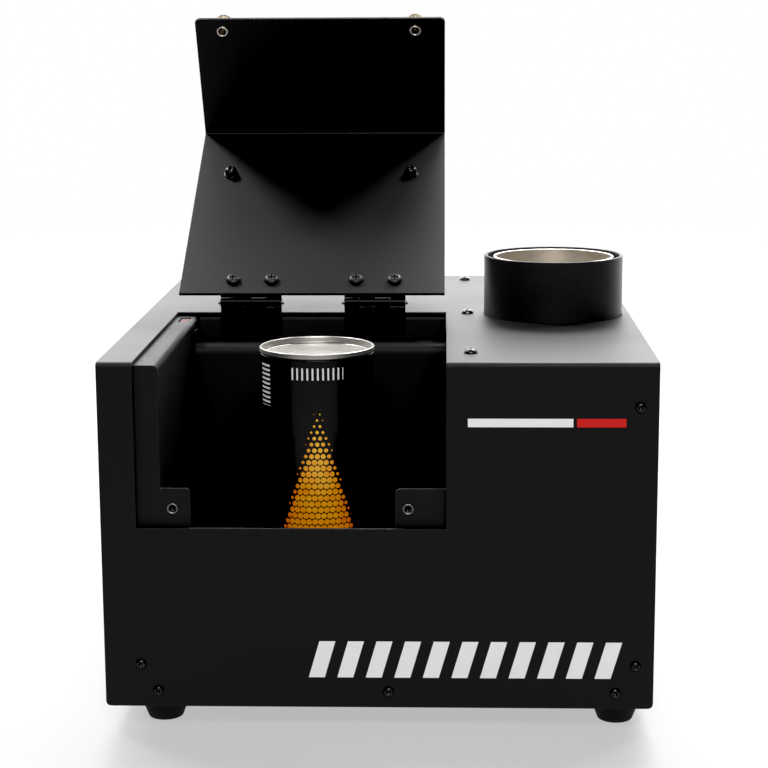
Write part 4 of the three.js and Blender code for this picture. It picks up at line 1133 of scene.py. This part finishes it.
PANEL_SCREW_XS = {"left": -0.1435, "right": 0.1435}
PANEL_SCREW_ZS = (0.023, 0.108, 0.193)
INLET_LOW, INLET_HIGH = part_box("mains_inlet")
INLET_PINS = ((-0.007, -0.0035), (0.0, 0.0035), (0.007, -0.0035))
INLET_SCREW_XS = {"left": -0.0296, "right": 0.0298}
RECESS_OFFSET = 0.0135
BLADE_HALF_X, BLADE_HALF_Z = 0.00104, 0.00254
BLADE_TIP, BLADE_ROOT = 0.00494, 0.0149
DISC, DISC_ROOT, DISC_FACE = 0.0099, -0.0155, -0.0128
CONTACT, CONTACT_ROOT, CONTACT_TIP = 0.00116, -0.014, -0.0046
SOCKET_CIRCLE = 0.005


def panel_screws():
    for row, z in enumerate(PANEL_SCREW_ZS, 1):
        for side, x in PANEL_SCREW_XS.items():
            bm = bmesh.new()
            hex_button(bm, M3_BUTTON, PANEL_SCREW_LENGTH, toward((x, REAR, z), Y_AXIS))
            piece(f"panel_screw_{side}_{row}", bm, OXIDE, "machine")


def inlet_fittings():
    """The blades in the inlet's recess, and its two screws."""
    x, z = (INLET_LOW.x + INLET_HIGH.x) / 2, (INLET_LOW.z + INLET_HIGH.z) / 2
    bm = bmesh.new()
    for across, up in INLET_PINS:
        left, low = x + RECESS_OFFSET + across - BLADE_HALF_X, z + up - BLADE_HALF_Z
        blade = oblong(left, low, left + 2 * BLADE_HALF_X, low + 2 * BLADE_HALF_Z, 0.0005)
        prism(bm, blade, BLADE_TIP, BLADE_ROOT, facing_y((0, REAR, 0)))
    piece("inlet_blades", bm, NICKEL, "machine", bevel=0.0003)
    for side, across in INLET_SCREW_XS.items():
        bm = bmesh.new()
        cross_head(bm, INLET_HEAD, toward((x + across, INLET_HIGH.y, z), Y_AXIS))
        piece(f"inlet_screw_{side}", bm, OXIDE, "machine")


def socket_fittings(name):
    """A control socket's disc, and the three contacts that stand on it."""
    low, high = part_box(f"control_socket_{name}")
    x, z = (low.x + high.x) / 2, (low.z + high.z) / 2
    bm = bmesh.new()
    lathe(bm, [(0, DISC_ROOT), (DISC, DISC_ROOT), (DISC, DISC_FACE, 0.0004), (0, DISC_FACE)],
          ROUND, toward((x, REAR, z), Y_AXIS))
    piece(f"socket_disc_{name}", bm, BLACK_PLASTIC, "machine")
    bm = bmesh.new()
    for share in (1 / 6, 1 / 2, 5 / 6):
        across = SOCKET_CIRCLE * math.cos(share * 2 * math.pi)
        up = SOCKET_CIRCLE * math.sin(share * 2 * math.pi)
        lathe(bm, [(0, CONTACT_ROOT), (CONTACT, CONTACT_ROOT), (CONTACT, CONTACT_TIP, 0.0005),
                   (0, CONTACT_TIP)], SMALL, toward((x + across, REAR, z + up), Y_AXIS))
    piece(f"socket_contacts_{name}", bm, BRASS, "machine")


panel_screws()
inlet_fittings()
for name in ("in", "out"):
    socket_fittings(name)


# Electrode wires, where the ceramic ends

WIRE = 0.00125
WIRE_BEND = 0.003
ELECTRODE_REACH = 0.014
CERAMIC_RISE = 0.022
SPARK_REACH = 0.0025
SPARK_RISE = 0.009


def electrode_wire(side, sign):
    low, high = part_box("electrode_" + side)
    nozzle_low, nozzle_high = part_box("burner_nozzle")
    centre, y = (nozzle_low.x + nozzle_high.x) / 2, (low.y + high.y) / 2
    x = centre + sign * ELECTRODE_REACH
    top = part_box("burner_bridge")[1].z + CLEARANCE + CERAMIC_RISE
    route = bent_path([
        (x, y, top - 0.001), (x, y, top + 0.003), (centre + sign * SPARK_REACH, y, top + SPARK_RISE)],
        WIRE_BEND, 8)
    bm = bmesh.new()
    sweep_tube(bm, route, WIRE, SMALL)
    piece("electrode_wire_" + side, bm, NICKEL, "machine")


electrode_wire("left", -1)
electrode_wire("right", 1)


# Printed marks on the front: a row of slanted bars, and a plain stripe in two colours

BAR_COUNT = 11
BAR_LEFT, BAR_RIGHT = -0.038, 0.1326
BAR_LOW, BAR_HIGH = 0.0302, 0.0508
BAR_SHARE = 0.56
BAR_SLANT = 0.006
FILM = 0.00006
STRIPE_Z = 0.1725
STRIPE_HEIGHT = 0.0046
STRIPES = (("stripe_white", 0.0485, 0.1045, WHITE_FILM), ("stripe_red", 0.1065, BAR_RIGHT, RED_FILM))


def front_marks():
    turn = facing_y((0, FRONT, 0))
    pitch = (BAR_RIGHT - BAR_LEFT - BAR_SLANT) / (BAR_COUNT - 1 + BAR_SHARE)
    bm = bmesh.new()
    for index in range(BAR_COUNT):
        left = BAR_LEFT + index * pitch
        right = left + pitch * BAR_SHARE
        prism(bm, [(left, BAR_LOW), (right, BAR_LOW), (right + BAR_SLANT, BAR_HIGH),
                   (left + BAR_SLANT, BAR_HIGH)], -FILM / 2, FILM, turn)
    piece("slanted_bars", bm, WHITE_FILM, "machine")
    low, high = STRIPE_Z - STRIPE_HEIGHT / 2, STRIPE_Z + STRIPE_HEIGHT / 2
    for name, left, right, film in STRIPES:
        bm = bmesh.new()
        prism(bm, oblong(left, low, right, high), -FILM / 2, FILM, turn)
        piece(name, bm, film, "machine")


front_marks()


# Feet

FOOT_SOLE = 0.0095
FOOT_RECESS = 0.0042
FOOT_BORE = 0.0048
FOOT_STUD = 0.003


def foot(node):
    """A tapered rubber foot with a screw recess, and its stud."""
    low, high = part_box(node)
    x, y = (low.x + high.x) / 2, (low.y + high.y) / 2
    rise = COVER_LOW.z
    wide = (high.x - low.x) / 2
    bm = bmesh.new()
    lathe(bm, [
        (0, FOOT_RECESS), (FOOT_BORE, FOOT_RECESS, 0.0004), (FOOT_BORE, 0, 0.0006),
        (FOOT_SOLE, 0, 0.0016), (wide, rise - 0.0022, 0.0016), (wide, rise, 0.0005),
        (FOOT_STUD, rise), (FOOT_STUD, high.z, 0.0005), (0, high.z),
    ], ROUND, Matrix.Translation((x, y, 0)))
    piece(node + "_rubber", bm, RUBBER, "machine", node)
    bm = bmesh.new()
    cross_head(bm, FOOT_HEAD, toward((x, y, FOOT_RECESS), -Z_AXIS))
    piece(node + "_screw", bm, ZINC, "machine")


for corner in ("front_left", "front_right", "rear_left", "rear_right"):
    foot("foot_" + corner)


# Stage, lights and camera

FLOOR_REACH = 6.0
FLOOR_FADE = (0.9, 2.6)
FLOOR_GLOW = 0.48


def pale_floor():
    """A pale matt floor that fades to the white of the studio far from the machine."""
    surface = Finish("studio_floor", specular_ior_level=0.3, roughness=0.5, emission_strength=FLOOR_GLOW)
    x, y, _ = surface.axes()
    away = (x ** 2.0 + y ** 2.0) ** 0.5
    cloud = surface.noise(3.0, 3.0)
    surface.feed(Base_Color=surface.mix(cloud, (0.115, 0.115, 0.115), (0.13, 0.13, 0.13)))
    surface.feed(Emission_Color=surface.mix(cloud, (0.99, 0.99, 0.99), (1.0, 1.0, 1.0)))
    surface.feed(Alpha=away.step(FLOOR_FADE[1], FLOOR_FADE[0]))
    bm = bmesh.new()
    bmesh.ops.create_circle(bm, cap_ends=True, segments=FINE, radius=FLOOR_REACH)
    mesh = bpy.data.meshes.new("floor")
    bm.to_mesh(mesh)
    bm.free()
    mesh.materials.append(surface.material)
    floor = bpy.data.objects.new("floor", mesh)
    bpy.context.scene.collection.objects.link(floor)


pale_floor()


def softbox(name, place, aim, size, power):
    data = bpy.data.lights.new(name, "AREA")
    data.shape = "RECTANGLE"
    data.size, data.size_y = size
    data.energy = power
    lamp = bpy.data.objects.new(name, data)
    lamp.location = place
    lamp.rotation_euler = (Vector(aim) - Vector(place)).to_track_quat("-Z", "Y").to_euler()
    lamp.visible_camera = False
    bpy.context.scene.collection.objects.link(lamp)


SIDE_SIZE = (0.32, 0.32)
SIDE_AIM = (0, 0.1, 0.25)
softbox("softbox_left", (-0.92, 0.62, 1.65), SIDE_AIM, SIDE_SIZE, 27.0)
softbox("softbox_right", (0.8, 0.62, 1.65), SIDE_AIM, SIDE_SIZE, 17.0)
softbox("softbox_rear", (0.25, 1.3, 1.6), (0.05, -0.05, 0.2), (0.9, 0.5), 24.0)
softbox("softbox_front", (0.2, -2.3, 2.2), (0, -0.2, 0.1), (1.6, 1.0), 64.0)


WORLD_RAMP = {"From Min": 0.3, "From Max": 0.95, "To Min": 0.085, "To Max": 5.0}


def studio_world():
    """White to the camera. For light and reflections it is bright behind and above, and dim in front."""
    world = bpy.data.worlds.new("studio")
    world.use_nodes = True
    bpy.context.scene.world = world
    nodes, links = world.node_tree.nodes, world.node_tree.links
    backdrop = nodes["Background"]
    out = nodes["World Output"]
    coordinates = nodes.new("ShaderNodeTexCoord")
    split = nodes.new("ShaderNodeSeparateXYZ")
    links.new(coordinates.outputs["Generated"], split.inputs[0])
    ramp = nodes.new("ShaderNodeMapRange")
    ramp.interpolation_type = "SMOOTHSTEP"
    for label, value in WORLD_RAMP.items():
        ramp.inputs[label].default_value = value
    links.new(split.outputs["Y"], ramp.inputs["Value"])
    links.new(ramp.outputs[0], backdrop.inputs["Strength"])
    seen = nodes.new("ShaderNodeBackground")
    seen.inputs["Strength"].default_value = 1.0
    for node in (backdrop, seen):
        node.inputs["Color"].default_value = (1.0, 1.0, 1.0, 1.0)
    path = nodes.new("ShaderNodeLightPath")
    choose = nodes.new("ShaderNodeMixShader")
    links.new(path.outputs["Is Camera Ray"], choose.inputs[0])
    links.new(backdrop.outputs[0], choose.inputs[1])
    links.new(seen.outputs[0], choose.inputs[2])
    links.new(choose.outputs[0], out.inputs["Surface"])


BLACK_LEVEL = 0.0088

studio_world()
view = bpy.context.scene.view_settings
view.view_transform = "Standard"
view.use_curve_mapping = True
view.curve_mapping.black_level = (BLACK_LEVEL,) * 3
view.curve_mapping.update()

CAMERA_PLACE = Vector((0.0356, -1.17178, 0.3806))
CAMERA_PITCH = 0.1862
CAMERA_YAW = -0.0319
CAMERA_ROLL = 0.0048
FOCAL_PIXELS = 1903.43
FRAME_PIXELS = 768
SENSOR = 36.0


def photo_camera():
    ahead = Vector((
        math.sin(CAMERA_YAW) * math.cos(CAMERA_PITCH),
        math.cos(CAMERA_YAW) * math.cos(CAMERA_PITCH),
        -math.sin(CAMERA_PITCH)))
    right = Vector((math.cos(CAMERA_YAW), -math.sin(CAMERA_YAW), 0))
    down = ahead.cross(right)
    across = right * math.cos(CAMERA_ROLL) + down * math.sin(CAMERA_ROLL)
    below = down * math.cos(CAMERA_ROLL) - right * math.sin(CAMERA_ROLL)
    data = bpy.data.cameras.new("camera")
    data.sensor_width = SENSOR
    data.lens = FOCAL_PIXELS * SENSOR / FRAME_PIXELS
    camera = bpy.data.objects.new("camera", data)
    turn = Matrix((across, -below, -ahead)).transposed().to_4x4()
    camera.matrix_world = Matrix.Translation(CAMERA_PLACE) @ turn
    bpy.context.scene.collection.objects.link(camera)
    bpy.context.scene.camera = camera


photo_camera()
